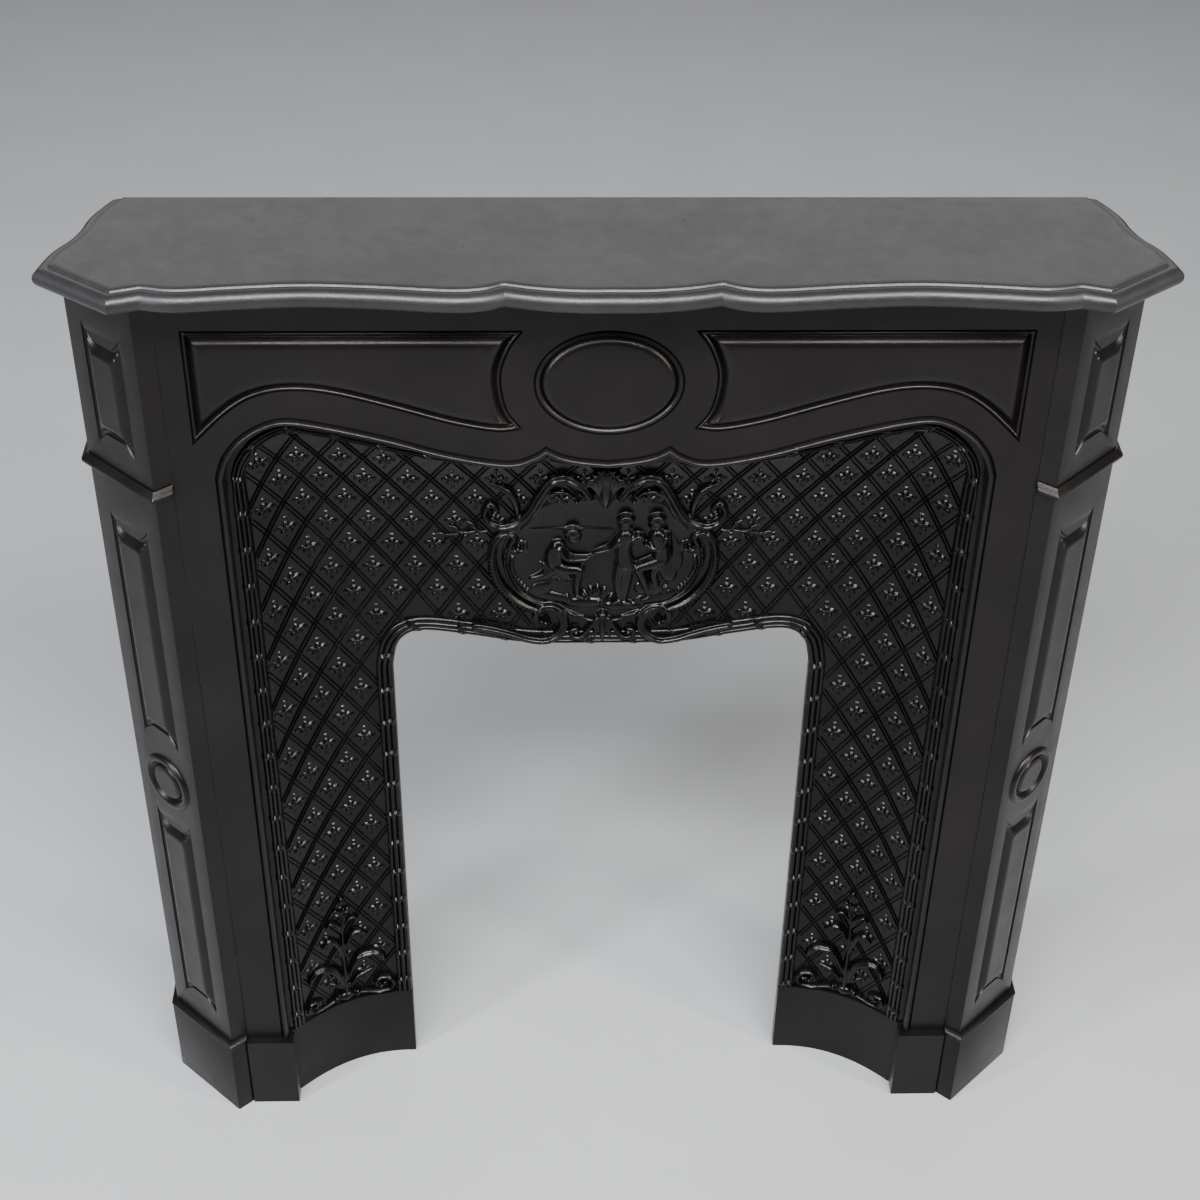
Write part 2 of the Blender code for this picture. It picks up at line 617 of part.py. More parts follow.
def fire_path(foot):
    """The fire opening's edge, from the left foot over the arch to the right foot."""
    arch = [(u * FIRE_HALF, FIRE_TOP + v * FIRE_WAVE) for u, v in FIRE_ARCH]
    half = smooth_path(arch + [(FIRE_HALF, FIRE_TOP - FIRE_CORNER)], 2) + [np.array((FIRE_HALF, foot))]
    return mirror_path(half)[:-1] + half


class Stroke:
    """A carved ridge: half round in section, along a curve on the ground."""

    def __init__(self, points, radius, rise):
        curve = smooth_path(points, 4) if len(points) > 2 else [np.array(p) for p in points]
        self.radius = radius
        self.rise = rise
        self.line = even_path(curve, 2.5 * radius)

    def height(self, x, z):
        if len(self.line) == 1:
            far = math.hypot(x - self.line[0][0], z - self.line[0][1])
        else:
            far = edge_distance(self.line, x, z)
        return self.rise * max(0.0, 1 - (far / self.radius) ** 2) ** 0.5

    def outline(self):
        """The closed line where the ridge meets the ground."""
        start, end = self.line[0], self.line[-1]
        first = (start - self.line[1]) / np.hypot(*(start - self.line[1]))
        last = (end - self.line[-2]) / np.hypot(*(end - self.line[-2]))
        left = offset_path(self.line, self.radius)
        right = offset_path(self.line, -self.radius)
        return left + [end + last * self.radius] + right[::-1] + [start + first * self.radius]


class Ball(Stroke):
    """A rounded knob, such as a head or a bud."""

    def __init__(self, centre, radius, rise):
        self.radius = radius
        self.rise = rise
        self.line = [np.array(centre)]

    def outline(self):
        turn = np.linspace(0, 2 * math.pi, 9)[:-1]
        return [self.line[0] + self.radius * np.array((math.cos(a), math.sin(a))) for a in turn]


def carve(table, x, z, unit, rise, flips=(1,)):
    """Strokes from a table in units about a middle, on one side or on both."""
    out = []
    for points, radius, share in table:
        for flip in flips:
            places = [(x + flip * unit * u, z + unit * v) for u, v in points]
            out.append(Stroke(places, unit * radius, share * rise))
    return out


def insert_carving():
    strokes = carve(SCROLLS, 0.0, CARTOUCHE_MIDDLE, CARTOUCHE_UNIT, SCROLL_RISE, (-1, 1))
    strokes += carve(MIDDLE_LEAVES, 0.0, CARTOUCHE_MIDDLE, CARTOUCHE_UNIT, SCROLL_RISE)
    strokes += carve(CHILDREN, 0.0, CARTOUCHE_MIDDLE, CARTOUCHE_UNIT, FIGURE_RISE)
    for u, v, radius in HEADS:
        spot = (CARTOUCHE_UNIT * u, CARTOUCHE_MIDDLE + CARTOUCHE_UNIT * v)
        strokes.append(Ball(spot, CARTOUCHE_UNIT * radius, FIGURE_RISE))
    for side in (-1, 1):
        strokes += carve([SPRAY_STEM], side * SPRAY_X, PLINTH_TALL, SPRAY_UNIT, SPRAY_RISE)
        strokes += carve(SPRAY_LEAVES, side * SPRAY_X, PLINTH_TALL, SPRAY_UNIT, SPRAY_RISE, (-1, 1))
        u, v, radius = SPRAY_BUD
        spot = (side * SPRAY_X + SPRAY_UNIT * u, PLINTH_TALL + SPRAY_UNIT * v)
        strokes.append(Ball(spot, SPRAY_UNIT * radius, 0.7 * SPRAY_RISE))
    return strokes


class Ground:
    """Vertices and edges of the insert's front, merged where they would crowd each other."""

    spot = 0.0026

    def __init__(self, region):
        self.points = [Vector(p) for p in region]
        self.edges = [(i, (i + 1) % len(region)) for i in range(len(region))]
        self.rises = {}
        self.cells = {}
        for i, p in enumerate(region):
            self.cells.setdefault(self.cell(p[0], p[1]), []).append(i)

    def cell(self, x, z):
        return round(x / self.spot), round(z / self.spot)

    def crowded(self, x, z, reach=1):
        """The first vertex found within so many spots of a place."""
        i, j = self.cell(x, z)
        for di in range(-reach, reach + 1):
            for dj in range(-reach, reach + 1):
                for k in self.cells.get((i + di, j + dj), ()):
                    if (self.points[k] - Vector((x, z))).length < reach * self.spot:
                        return k
        return None

    def add(self, x, z, rise=None):
        k = self.crowded(x, z)
        if k is None:
            k = len(self.points)
            self.points.append(Vector((x, z)))
            self.cells.setdefault(self.cell(x, z), []).append(k)
            if rise is not None:
                self.rises[k] = rise
        return k

    def chain(self, spots, closed=False):
        """A line of edges through places."""
        line = [self.add(p[0], p[1]) for p in spots]
        if closed:
            line.append(line[0])
        self.edges += [(a, b) for a, b in zip(line, line[1:]) if a != b]


def add_lattice(ground, field, plain):
    """Ribs that cross in diamonds, each with a flower in its middle."""
    rib = 0.13  # share of a diamond that its rib's slope takes
    rows = int(FLANGE_TOP / (0.5 * LATTICE_TALL)) + 1
    columns = int(FLANGE_HALF / LATTICE_WIDE) + 1
    arms = [(0.5 * LATTICE_WIDE, 0.0), (0.0, 0.5 * LATTICE_TALL),
            (-0.5 * LATTICE_WIDE, 0.0), (0.0, -0.5 * LATTICE_TALL)]
    for row in range(-rows, rows):
        for column in range(-columns, columns + 1):
            x = (column + 0.5 * (row % 2)) * LATTICE_WIDE
            z = CARTOUCHE_MIDDLE + 0.5 * row * LATTICE_TALL
            if not plain(x, z):
                continue
            if all(inside(field, x + 1.05 * dx, z + 1.05 * dz) and plain(x + dx, z + dz) for dx, dz in arms):
                tips = [ground.add(x + dx, z + dz, RIB_RISE) for dx, dz in arms]
                ring = [ground.add(x + (1 - rib) * dx, z + (1 - rib) * dz, 0.0) for dx, dz in arms]
                for k in range(4):
                    ground.edges += [(tips[k], tips[k - 1]), (ring[k], ring[k - 1])]
                for dx, dz in arms:
                    ground.add(x + 0.42 * dx, z + 0.42 * dz, 0.0)
            ground.add(x, z, FLOWER_RISE)


def sheet(bm, ground, region, height):
    """Triangulates the ground's points within a region, and returns each source's vertex."""
    spots, _, faces, origins, _, _ = delaunay_2d_cdt(ground.points, ground.edges, [], 0, 1e-6)
    verts = [bm.verts.new((p[0], height(p[0], p[1], origin), p[1])) for p, origin in zip(spots, origins)]
    for face in faces:
        x = sum(spots[k][0] for k in face) / len(face)
        z = sum(spots[k][1] for k in face) / len(face)
        if inside(region, x, z):
            bm.faces.new([verts[k] for k in face])
    return {k: v for origin, v in zip(origins, verts) for k in origin}


def rim_loop(bm):
    """The vertices round the open edge of a sheet, in order."""
    bm.verts.ensure_lookup_table()
    first = next(e for e in bm.edges if len(e.link_faces) == 1)
    loop = [first.verts[0], first.verts[1]]
    used = {first}
    while loop[-1] is not loop[0]:
        edge = next(e for e in loop[-1].link_edges if len(e.link_faces) == 1 and e not in used)
        used.add(edge)
        loop.append(edge.other_vert(loop[-1]))
    return loop[:-1]


def build_insert(material):
    foot = PLINTH_TALL - FOOT_LAP
    step = PLINTH_TALL + FOOT_STEP
    shoulder = FLANGE_TOP - FLANGE_CORNER
    half_rim = [(FLANGE_HALF - FLANGE_CORNER, FLANGE_TOP), (FLANGE_HALF, shoulder), (FLANGE_HALF, step),
                (COVED_PLINTH_OUTER, step), (COVED_PLINTH_OUTER, foot)]
    rim = mirror_path(half_rim) + [np.array(p) for p in half_rim]
    fire = fire_path(foot)
    feet = [np.array((x, foot)) for x in coved_plinth_places()[1:-1]]
    region = [tuple(p) for p in rim + feet + fire[::-1] + mirror_path(feet)]
    opening = opening_path(foot)
    border = offset_path(opening, -(BEAD_WIDTH + BORDER_GAP))
    border_in = offset_path(opening, -(BEAD_WIDTH + BORDER_WIDE))
    fire_out = offset_path(fire, BORDER_WIDE)
    field = border_in + list(reversed(fire_out))
    strokes = insert_carving()
    spray_top = PLINTH_TALL + 1.02 * SPRAY_TALL

    def carving(x, z):
        return max(stroke.height(x, z) for stroke in strokes)

    def relief(x, z):
        if not inside(border, x, z):
            return 0.0
        rise = carving(x, z)
        if not inside(field, x, z):
            near = min(abs(edge_distance(border, x, z) - 0.5 * BORDER_WIDE),
                       abs(edge_distance(fire, x, z) - 0.5 * BORDER_WIDE))
            rise = max(rise, BORDER_RISE * max(0.0, 1 - near / (0.5 * BORDER_WIDE)))
        return rise

    def plain(x, z):
        """Whether a place is on the lattice's ground, clear of the carving."""
        oval = math.hypot(x / (1.08 * CARTOUCHE_HALF), (z - CARTOUCHE_MIDDLE) / (0.90 * CARTOUCHE_HALF))
        return inside(field, x, z) and oval > 1 and z > spray_top

    ground = Ground(region)
    for path in (border, offset_path(opening, -(BEAD_WIDTH + 0.5 * BORDER_WIDE)), border_in, fire_out,
                 offset_path(fire, 0.5 * BORDER_WIDE)):
        line = [np.array((p[0], max(p[1], step + BORDER_GAP))) for p in path]
        spaced = []
        for a, b in zip(line, line[1:]):
            spans = max(1, int(np.hypot(*(b - a)) / LATTICE_TALL))
            spaced += [a + (b - a) * k / spans for k in range(spans)]
        ground.chain(spaced + [line[-1]])
    for stroke in strokes:
        ground.chain(stroke.line)
        ground.chain(stroke.outline(), closed=True)
    add_lattice(ground, field, plain)
    # A few more vertices, so that bare ground round the carving still follows the cove
    pitch = 0.4 * LATTICE_WIDE
    for i in range(int(-OPENING_HALF / pitch), int(OPENING_HALF / pitch) + 1):
        for j in range(int(foot / pitch) + 1, int(FLANGE_TOP / pitch)):
            x, z = i * pitch, j * pitch
            if inside(field, x, z) and not plain(x, z) and ground.crowded(x, z, 3) is None:
                ground.add(x, z)

    rim_count = len(region)

    def front_depth(x, z, origin):
        if any(k < rim_count for k in origin):
            return cove(x, z)
        rise = relief(x, z)
        marked = [ground.rises[k] for k in origin if k in ground.rises]
        return cove(x, z) - max(marked + [rise])

    bm = bmesh.new()
    sheet(bm, ground, region, front_depth)
    loose = [v for v in bm.verts if not v.link_faces]
    bmesh.ops.delete(bm, geom=loose, context='VERTS')
    # The back follows the cove at the iron's thickness, and is plain
    loop = rim_loop(bm)
    path = [(v.co.x, v.co.z) for v in loop]
    back = Ground(path)
    for i in range(-8, 9):
        for j in range(20):
            x, z = i * 0.133 * FLANGE_HALF, foot + (j + 0.4) * 0.0525 * FLANGE_TOP
            if inside(path, x, z) and edge_distance(path + path[:1], x, z) > 1.25 * BORDER_WIDE:
                back.add(x, z)
    lookup = sheet(bm, back, path, lambda x, z, origin: cove(x, z) + IRON)
    for i in range(len(loop)):
        j = (i + 1) % len(loop)
        bm.faces.new((loop[i], loop[j], lookup[j], lookup[i]))
    insert = make_object("insert", bm, material)
    for side, word in ((-1, "left"), (1, "right")):
        unite(insert, coved_plinth(side, word))
    return insert


def coved_plinth_places():
    """Places across a leg's foot, from the jamb's plinth to the fire opening."""
    return np.linspace(COVED_PLINTH_OUTER, FIRE_HALF, 9)


def coved_plinth(side, word):
    """Plinth under a leg of the insert, hollow in plan like the leg above it."""
    front = [(side * x, cove(x, PLINTH_TALL) - COVED_PLINTH_OUT) for x in coved_plinth_places()]
    plan = front + [(x, y + IRON + COVED_PLINTH_OUT) for x, y in reversed(front)]
    if side > 0:
        plan.reverse()
    return block("coved plinth " + word, plan, 0.0, PLINTH_TALL)


def centre_on_origin(shelf):
    """Moves everything so that the origin is under the middle of the shelf's depth."""
    depths = [v.co.y for v in shelf.data.vertices]
    middle = 0.5 * (min(depths) + max(depths))
    for thing in bpy.data.objects:
        thing.location.y = -middle


clear_scene()
mantel = build_shelf(iron("graphite iron", 0.10, 0.38))
build_front_plate(iron("black iron plate", 0.03, 0.45))
build_pilaster(-1, "pilaster_left", iron("black iron left", 0.032, 0.42))
build_pilaster(1, "pilaster_right", iron("black iron right", 0.032, 0.42))
build_insert(iron("gloss black iron", 0.022, 0.32))
centre_on_origin(mantel)
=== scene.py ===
import math

import bmesh
import bpy
import numpy as np
from mathutils import Matrix, Vector
from mathutils.geometry import tessellate_polygon


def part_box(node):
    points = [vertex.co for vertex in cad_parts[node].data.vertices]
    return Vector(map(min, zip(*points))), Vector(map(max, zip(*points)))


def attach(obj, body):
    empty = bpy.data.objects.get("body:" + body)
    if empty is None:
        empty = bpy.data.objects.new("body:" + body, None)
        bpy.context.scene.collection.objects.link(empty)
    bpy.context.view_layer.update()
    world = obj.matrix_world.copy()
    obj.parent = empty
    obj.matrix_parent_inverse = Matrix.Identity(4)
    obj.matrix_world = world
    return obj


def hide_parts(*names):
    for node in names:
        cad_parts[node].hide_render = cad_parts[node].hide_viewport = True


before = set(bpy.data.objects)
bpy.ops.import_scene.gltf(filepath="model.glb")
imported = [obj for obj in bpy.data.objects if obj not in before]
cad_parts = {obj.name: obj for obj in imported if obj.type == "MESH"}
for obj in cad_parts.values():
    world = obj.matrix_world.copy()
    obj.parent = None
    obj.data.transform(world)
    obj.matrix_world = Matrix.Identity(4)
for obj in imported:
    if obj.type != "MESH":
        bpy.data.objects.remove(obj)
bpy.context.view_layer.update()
shelfLow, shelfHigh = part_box("shelf")

# Shared places, in metres; depths are counted from the front plate's face
common = {
    "shelfBackDepth": 0.1055,      # shelf's back edge behind the plate's face
    "shelfTop": shelfHigh.z,
    "bodyTop": 1.064,
    "iron": 0.008,                 # wall of every casting
    "gap": 0.0003,
    "plateHalf": 0.400,
    "openingHalf": 0.3610,
    "beadWidth": 0.0085,
    "plinthTall": 0.103,
    "fireHalf": 0.2145,
    "fireTop": 0.627,
    "legHeight": 0.4,              # a height where the legs' hollow section is plain
    "sunk": 0.0015,                # how far the edge of a relief goes into the ground below it
}
plateDepth = shelfHigh.y - common["shelfBackDepth"]   # where the plate's face stands in the frame


# Curves and meshes

def curvePath(points, steps):
    # Catmull-Rom curve: each span blends four neighbours with cubic weights in t
    pts = np.array(points, float)
    ends = np.vstack([2 * pts[0] - pts[1], pts, 2 * pts[-1] - pts[-2]])
    t = (np.arange(steps) / steps)[None, :, None]
    a, b, c, d = (ends[k:len(ends) - 3 + k][:, None, :] for k in range(4))
    spans = 0.5 * (2 * b + (c - a) * t + (2 * a - 5 * b + 4 * c - d) * t ** 2
                   + (3 * b - a - 3 * c + d) * t ** 3)
    return np.vstack([spans.reshape(-1, pts.shape[1]), pts[-1:]])


def evenPath(points, spacing):
    # The same line with points at equal steps of its own length
    pts = np.array(points, float)
    run = np.concatenate([[0], np.cumsum(np.hypot(*np.diff(pts[:, :2], axis=0).T))])
    count = max(2, int(round(run[-1] / spacing)) + 1)
    at = np.linspace(0, run[-1], count)
    return np.stack([np.interp(at, run, pts[:, k]) for k in range(pts.shape[1])], 1)


def joinPaths(*paths):
    # End to end, dropping each repeated joint
    return np.vstack([p[:-1] for p in paths[:-1]] + [paths[-1]])


def bothSides(half):
    # The right half of a path with its mirror image before it
    return np.vstack([(half[::-1] * (-1, 1))[:-1], half])


def ellipse(middle, half, count):
    turn = np.linspace(0, 2 * math.pi, count + 1)[:-1]
    return np.stack([middle[0] + half[0] * np.cos(turn), middle[1] + half[1] * np.sin(turn)], 1)


def offsetPath(points, distance, closed=False):
    # Each point moves to the path's left by distance over the cosine of half its turn,
    # which is held at 0.35 or more so that no sharp corner runs away
    pts = np.array(points, float)
    if closed:
        before = pts - np.roll(pts, 1, 0)
        after = np.roll(pts, -1, 0) - pts
    else:
        step = np.diff(pts, axis=0)
        before = np.vstack([step[:1], step])
        after = np.vstack([step, step[-1:]])
    before /= np.linalg.norm(before, axis=1, keepdims=True)
    after /= np.linalg.norm(after, axis=1, keepdims=True)
    normal = np.stack([-before[:, 1] - after[:, 1], before[:, 0] + after[:, 0]], 1)
    normal /= np.linalg.norm(normal, axis=1, keepdims=True)
    spread = np.maximum(0.35, (normal * np.stack([-before[:, 1], before[:, 0]], 1)).sum(1))
    return pts + normal * (distance / spread)[:, None]


def nearestOnPath(x, z, path):
    # For each place: distance to the path, length along it, and side (+ is left)
    a = path[:-1]
    d = np.diff(path, axis=0)
    size = (d * d).sum(1)
    run = np.concatenate([[0], np.cumsum(np.sqrt(size))])
    far = np.empty(x.size)
    along = np.empty(x.size)
    side = np.empty(x.size)
    flatX, flatZ = x.ravel(), z.ravel()
    block = max(1, 2500000 // len(a))   # keeps each table of distances to about 20 MB
    for i in range(0, x.size, block):
        px = flatX[i:i + block, None] - a[None, :, 0]
        pz = flatZ[i:i + block, None] - a[None, :, 1]
        t = np.clip((px * d[:, 0] + pz * d[:, 1]) / size, 0, 1)
        gap = (px - t * d[:, 0]) ** 2 + (pz - t * d[:, 1]) ** 2
        k = gap.argmin(1)
        row = np.arange(len(k))
        far[i:i + block] = np.sqrt(gap[row, k])
        along[i:i + block] = run[k] + t[row, k] * np.sqrt(size[k])
        side[i:i + block] = np.sign(d[k, 0] * pz[row, k] - d[k, 1] * px[row, k])
    return far.reshape(x.shape), along.reshape(x.shape), side.reshape(x.shape)


def insetPath(path, distance):
    # Offset inward; a point that a sharp corner swallows takes its nearest sound neighbour
    if not distance:
        return np.array(path, float)
    moved = offsetPath(path, distance, True)
    ring = np.vstack([path, path[:1]])
    sound = nearestOnPath(moved[:, 0], moved[:, 1], ring)[0] > 0.95 * distance
    good = np.flatnonzero(sound)
    away = np.abs(np.arange(len(moved))[:, None] - good[None, :])
    away = np.minimum(away, len(moved) - away)
    return moved[good[away.argmin(1)]]


def bridgeRings(first, second, count, closed=True):
    # Quads between two rings whose first vertices are given
    i = np.arange(count if closed else count - 1)
    j = (i + 1) % count
    return np.stack([first + i, first + j, second + j, second + i], 1)


def buildMesh(name, points, quads, polygons=(), outward=True, sharp=32):
    # Points in plate coordinates are moved to the frame's own depth
    placed = np.array(points, float)
    placed[:, 1] += plateDepth
    quads = np.asarray(quads, int).reshape(-1, 4)
    mesh = bpy.data.meshes.new(name)
    loops = np.concatenate([quads.ravel()] + [np.array(p, int) for p in polygons]) \
        if len(polygons) else quads.ravel()
    sizes = np.concatenate([np.full(len(quads), 4), [len(p) for p in polygons]]).astype(int)
    starts = np.concatenate([[0], np.cumsum(sizes)[:-1]]).astype(int)
    mesh.vertices.add(len(placed))
    mesh.vertices.foreach_set("co", placed.ravel())
    mesh.loops.add(len(loops))
    mesh.loops.foreach_set("vertex_index", loops)
    mesh.polygons.add(len(sizes))
    mesh.polygons.foreach_set("loop_start", starts)
    mesh.update(calc_edges=True)
    mesh.validate()
    bm = bmesh.new()
    bm.from_mesh(mesh)
    bmesh.ops.remove_doubles(bm, verts=bm.verts, dist=1e-6)
    if outward:
        bmesh.ops.recalc_face_normals(bm, faces=bm.faces)
    bm.to_mesh(mesh)
    bm.free()
    mesh.shade_smooth()
    mesh.set_sharp_from_angle(angle=math.radians(sharp))
    piece = bpy.data.objects.new(name, mesh)
    bpy.context.collection.objects.link(piece)
    return piece


class Parts:
    # Gathers rings, quads and flat faces of one casting
    def __init__(self):
        self.points, self.quads, self.polygons, self.count = [], [], [], 0

    def ring(self, points):
        self.points.append(np.asarray(points, float))
        self.count += len(points)
        return self.count - len(points)

    def bridge(self, first, second, count, closed=True):
        self.quads.append(bridgeRings(first, second, count, closed))

    def face(self, *rings):
        # A flat face: rings are (vertex numbers, 2D places), the first outside and the rest holes
        numbers = np.concatenate([np.asarray(r[0]) for r in rings])
        shapes = [[Vector((p[0], p[1], 0)) for p in r[1]] for r in rings]
        for tri in tessellate_polygon(shapes):
            self.polygons.append(numbers[list(tri)])

    def build(self, name, **how):
        quads = np.vstack(self.quads) if self.quads else np.zeros((0, 4), int)
        return buildMesh(name, np.vstack(self.points), quads, self.polygons, **how)


def finishPiece(piece, material, slotName, *nodes):
    piece.data.materials.append(material)
    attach(piece, "root")
    if nodes:
        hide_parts(*nodes)
    print("made", piece.name, sum(len(p.vertices) - 2 for p in piece.data.polygons), "triangles")


# Materials

def linear(hexColour):
    # sRGB hex to linear colour
    parts = np.array([int(hexColour[i:i + 2], 16) / 255 for i in (1, 3, 5)])
    low = parts / 12.92
    high = ((parts + 0.055) / 1.055) ** 2.4
    return tuple(np.where(parts <= 0.04045, low, high)) + (1.0,)


def node(tree, kind, settings=(), inputs=(), links=()):
    # One node with its settings, values and links
    made = tree.nodes.new(kind)
    for name, value in settings:
        setattr(made, name, value)
    for name, value in inputs:
        made.inputs[name].default_value = value
    for name, source in links:
        tree.links.new(source, made.inputs[name])
    return made


def castIron(name, look):
    # Cast iron rubbed with black grate polish: fine sand-cast grain under a soft graphite sheen.
    # The grain breaks up the highlights, and thin polish leaves duller and browner patches.
    material = bpy.data.materials.new(name)
    material.use_nodes = True
    tree = material.node_tree
    shader = tree.nodes["Principled BSDF"]
    place = node(tree, "ShaderNodeTexCoord").outputs["Object"]

    def noise(sizeMm, detail, rough=0.5):
        return node(tree, "ShaderNodeTexNoise", (), (("Scale", 1000 / sizeMm), ("Detail", detail),
                    ("Roughness", rough)), (("Vector", place),)).outputs["Fac"]

    patches = noise(look["patchMm"], 3, 0.6)
    streaks = noise(look["patchMm"] * 0.23, 4, 0.65)
    ramp = node(tree, "ShaderNodeValToRGB", (), (), (("Fac", patches),))
    ramp.color_ramp.elements[0].position = 0.34
    ramp.color_ramp.elements[0].color = linear(look["dark"])
    ramp.color_ramp.elements[1].position = 0.66
    ramp.color_ramp.elements[1].color = linear(look["light"])
    tree.links.new(ramp.outputs["Color"], shader.inputs["Base Color"])
    sheen = node(tree, "ShaderNodeMapRange", (), (("From Min", 0.3), ("From Max", 0.7),
                 ("To Min", look["roughLow"]), ("To Max", look["roughHigh"])), (("Value", streaks),))
    tree.links.new(sheen.outputs["Result"], shader.inputs["Roughness"])
    shader.inputs["Metallic"].default_value = look["metallic"]
    shader.inputs["Specular IOR Level"].default_value = look["specular"]
    # Sand grain of about 1.5 mm, drawn a little coarse so that it shows, over small pits and waves
    grain = noise(look["grainMm"], 2, 0.6)
    waves = noise(look["waveMm"], 2)
    pits = node(tree, "ShaderNodeTexVoronoi", (("feature", "F1"),), (("Scale", 1000 / look["pitMm"]),),
                (("Vector", place),)).outputs["Distance"]
    pitShape = node(tree, "ShaderNodeMapRange", (), (("From Min", 0.0), ("From Max", look["pitReach"]),
                    ("To Min", 0.0), ("To Max", 1.0)), (("Value", pits),)).outputs["Result"]
    deep = node(tree, "ShaderNodeBump", (), (("Strength", look["pitStrength"]), ("Distance", 0.0006)),
                (("Height", pitShape),)).outputs["Normal"]
    broad = node(tree, "ShaderNodeBump", (), (("Strength", look["waveStrength"]), ("Distance", 0.002)),
                 (("Height", waves), ("Normal", deep))).outputs["Normal"]
    fine = node(tree, "ShaderNodeBump", (), (("Strength", look["grainStrength"]), ("Distance", 0.0004)),
                (("Height", grain), ("Normal", broad))).outputs["Normal"]
    tree.links.new(fine, shader.inputs["Normal"])
    return material


# Warm near-black of the flat castings, with a satin sheen along every edge
blackPolish = castIron("grate-polished cast iron", {
    "dark": "#151312", "light": "#1c1918", "patchMm": 160, "roughLow": 0.28, "roughHigh": 0.38,
    "metallic": 0.70, "specular": 0.5, "grainMm": 1.5, "grainStrength": 0.30, "waveMm": 22,
    "waveStrength": 0.14, "pitMm": 24, "pitReach": 0.05, "pitStrength": 0.5})
# Lighter, cooler grey of the shelf: partly painted reflection, standing in for the bright wall behind that
# the top catches at a grazing angle, over a soft metal sheen
paintedSheenShelfIron = castIron("shelf iron with painted sheen grey", {
    "dark": "#262627", "light": "#2d2d2e", "patchMm": 70, "roughLow": 0.34, "roughHigh": 0.42,
    "metallic": 0.55, "specular": 0.5, "grainMm": 1.7, "grainStrength": 0.40, "waveMm": 30,
    "waveStrength": 0.12, "pitMm": 22, "pitReach": 0.05, "pitStrength": 0.6})
# Blackest and glossiest in the ornament, which nobody touches: small sharp lights on the relief
glossIron = castIron("black-polished ornament iron", {
    "dark": "#100f0f", "light": "#181716", "patchMm": 60, "roughLow": 0.17, "roughHigh": 0.30,
    "metallic": 0.80, "specular": 0.6, "grainMm": 1.3, "grainStrength": 0.25, "waveMm": 9,
    "waveStrength": 0.16, "pitMm": 18, "pitReach": 0.05, "pitStrength": 0.4})
print("materials ready")


# Shelf

shelfLook = {
    "half": ((0.0, -0.0600), (0.030, -0.0598), (0.062, -0.0560), (0.0925, -0.0485)),
    "swell": ((0.0925, -0.0485), (0.112, -0.0570), (0.140, -0.0590), (0.200, -0.0530),
              (0.260, -0.0497), (0.320, -0.0540), (0.365, -0.0585), (0.3945, -0.0535)),
    "frontCorner": (0.418, -0.061),
    "cantCorner": (0.476, -0.018),
    "end": ((0.476, -0.018), (0.473, -0.005), (0.468, 0.010), (0.457, 0.030), (0.4505, 0.050),
            (0.4470, 0.070), (0.4410, 0.086), (0.432, 0.1055)),
    "spacing": 0.0035,
    "quirk": ((-0.006, 0.0), (-0.0006, 0.0), (0.0, 0.0003), (0.0006, 0.0012), (0.0012, 0.0019),
              (0.0024, 0.0018)),   # out from the outline, and down from the top
    "nosingRadius": 0.009,
    "nosingDrop": 0.0015,
    "nosingOut": 0.004,
    "soffitDrop": 0.022,
    "bedDrop": 0.002,
    "bedIn": 0.003,
    "bedOut": 0.010,
    "bedCant": 0.62,
    "plate": 0.010,
}


def shelfHalfOutline():
    s = shelfLook
    corner = np.array([s["swell"][-1], s["frontCorner"], s["cantCorner"]])
    return joinPaths(evenPath(curvePath(s["half"], 16), s["spacing"]),
                     evenPath(curvePath(s["swell"], 16), s["spacing"]),
                     evenPath(corner[:2], s["spacing"]), evenPath(corner[1:], s["spacing"]),
                     evenPath(curvePath(s["end"], 12), s["spacing"]))


def bodyLine(outline, out):
    # Where each point of the shelf's edge lands on the body below, pushed out by a distance
    s = shelfLook
    cornerX, cornerY = pilasterLook["corner"]
    x, y = np.abs(outline[:, 0]), outline[:, 1]
    sign = np.where(outline[:, 0] >= 0, 1.0, -1.0)
    cusp = s["swell"][-1][0]
    front = np.stack([x / cusp * common["plateHalf"], np.full(len(x), -out)], 1)
    share = np.clip((x - cusp) / (s["frontCorner"][0] - cusp), 0, 1)[:, None]
    knee = np.array([cornerX + 0.1 * out, cornerY - out])
    corner = front * (1 - share) + knee * share
    corner[x <= cusp] = front[x <= cusp]
    end = curvePath(s["end"], 12)
    start = cornerY + s["bedCant"] * (pilasterLook["outer"][1] - cornerY)
    run = np.clip((y - s["cantCorner"][1]) / (common["shelfBackDepth"] - s["cantCorner"][1]), 0, 1)
    depth = start + run * (common["shelfBackDepth"] - start)
    wall = min(0.0, out)
    side = np.stack([np.interp(depth, end[:, 1], end[:, 0]) + wall,
                     np.minimum(depth, common["shelfBackDepth"] + wall)], 1)
    # Along the cant the line runs straight from the front corner to the end
    cantRun = s["cantCorner"][1] - s["frontCorner"][1]
    cantShare = np.clip((y - s["frontCorner"][1]) / cantRun, 0, 1)[:, None]
    first = np.array([float(np.interp(start, end[:, 1], end[:, 0])) + wall, start])
    cant = knee * (1 - cantShare) + first * cantShare
    isCant = (x > s["frontCorner"][0]) & (y < s["cantCorner"][1])
    isEnd = y >= s["cantCorner"][1]
    line = np.where(isEnd[:, None], side, np.where(isCant[:, None], cant, corner))
    return np.stack([sign * line[:, 0], line[:, 1]], 1)


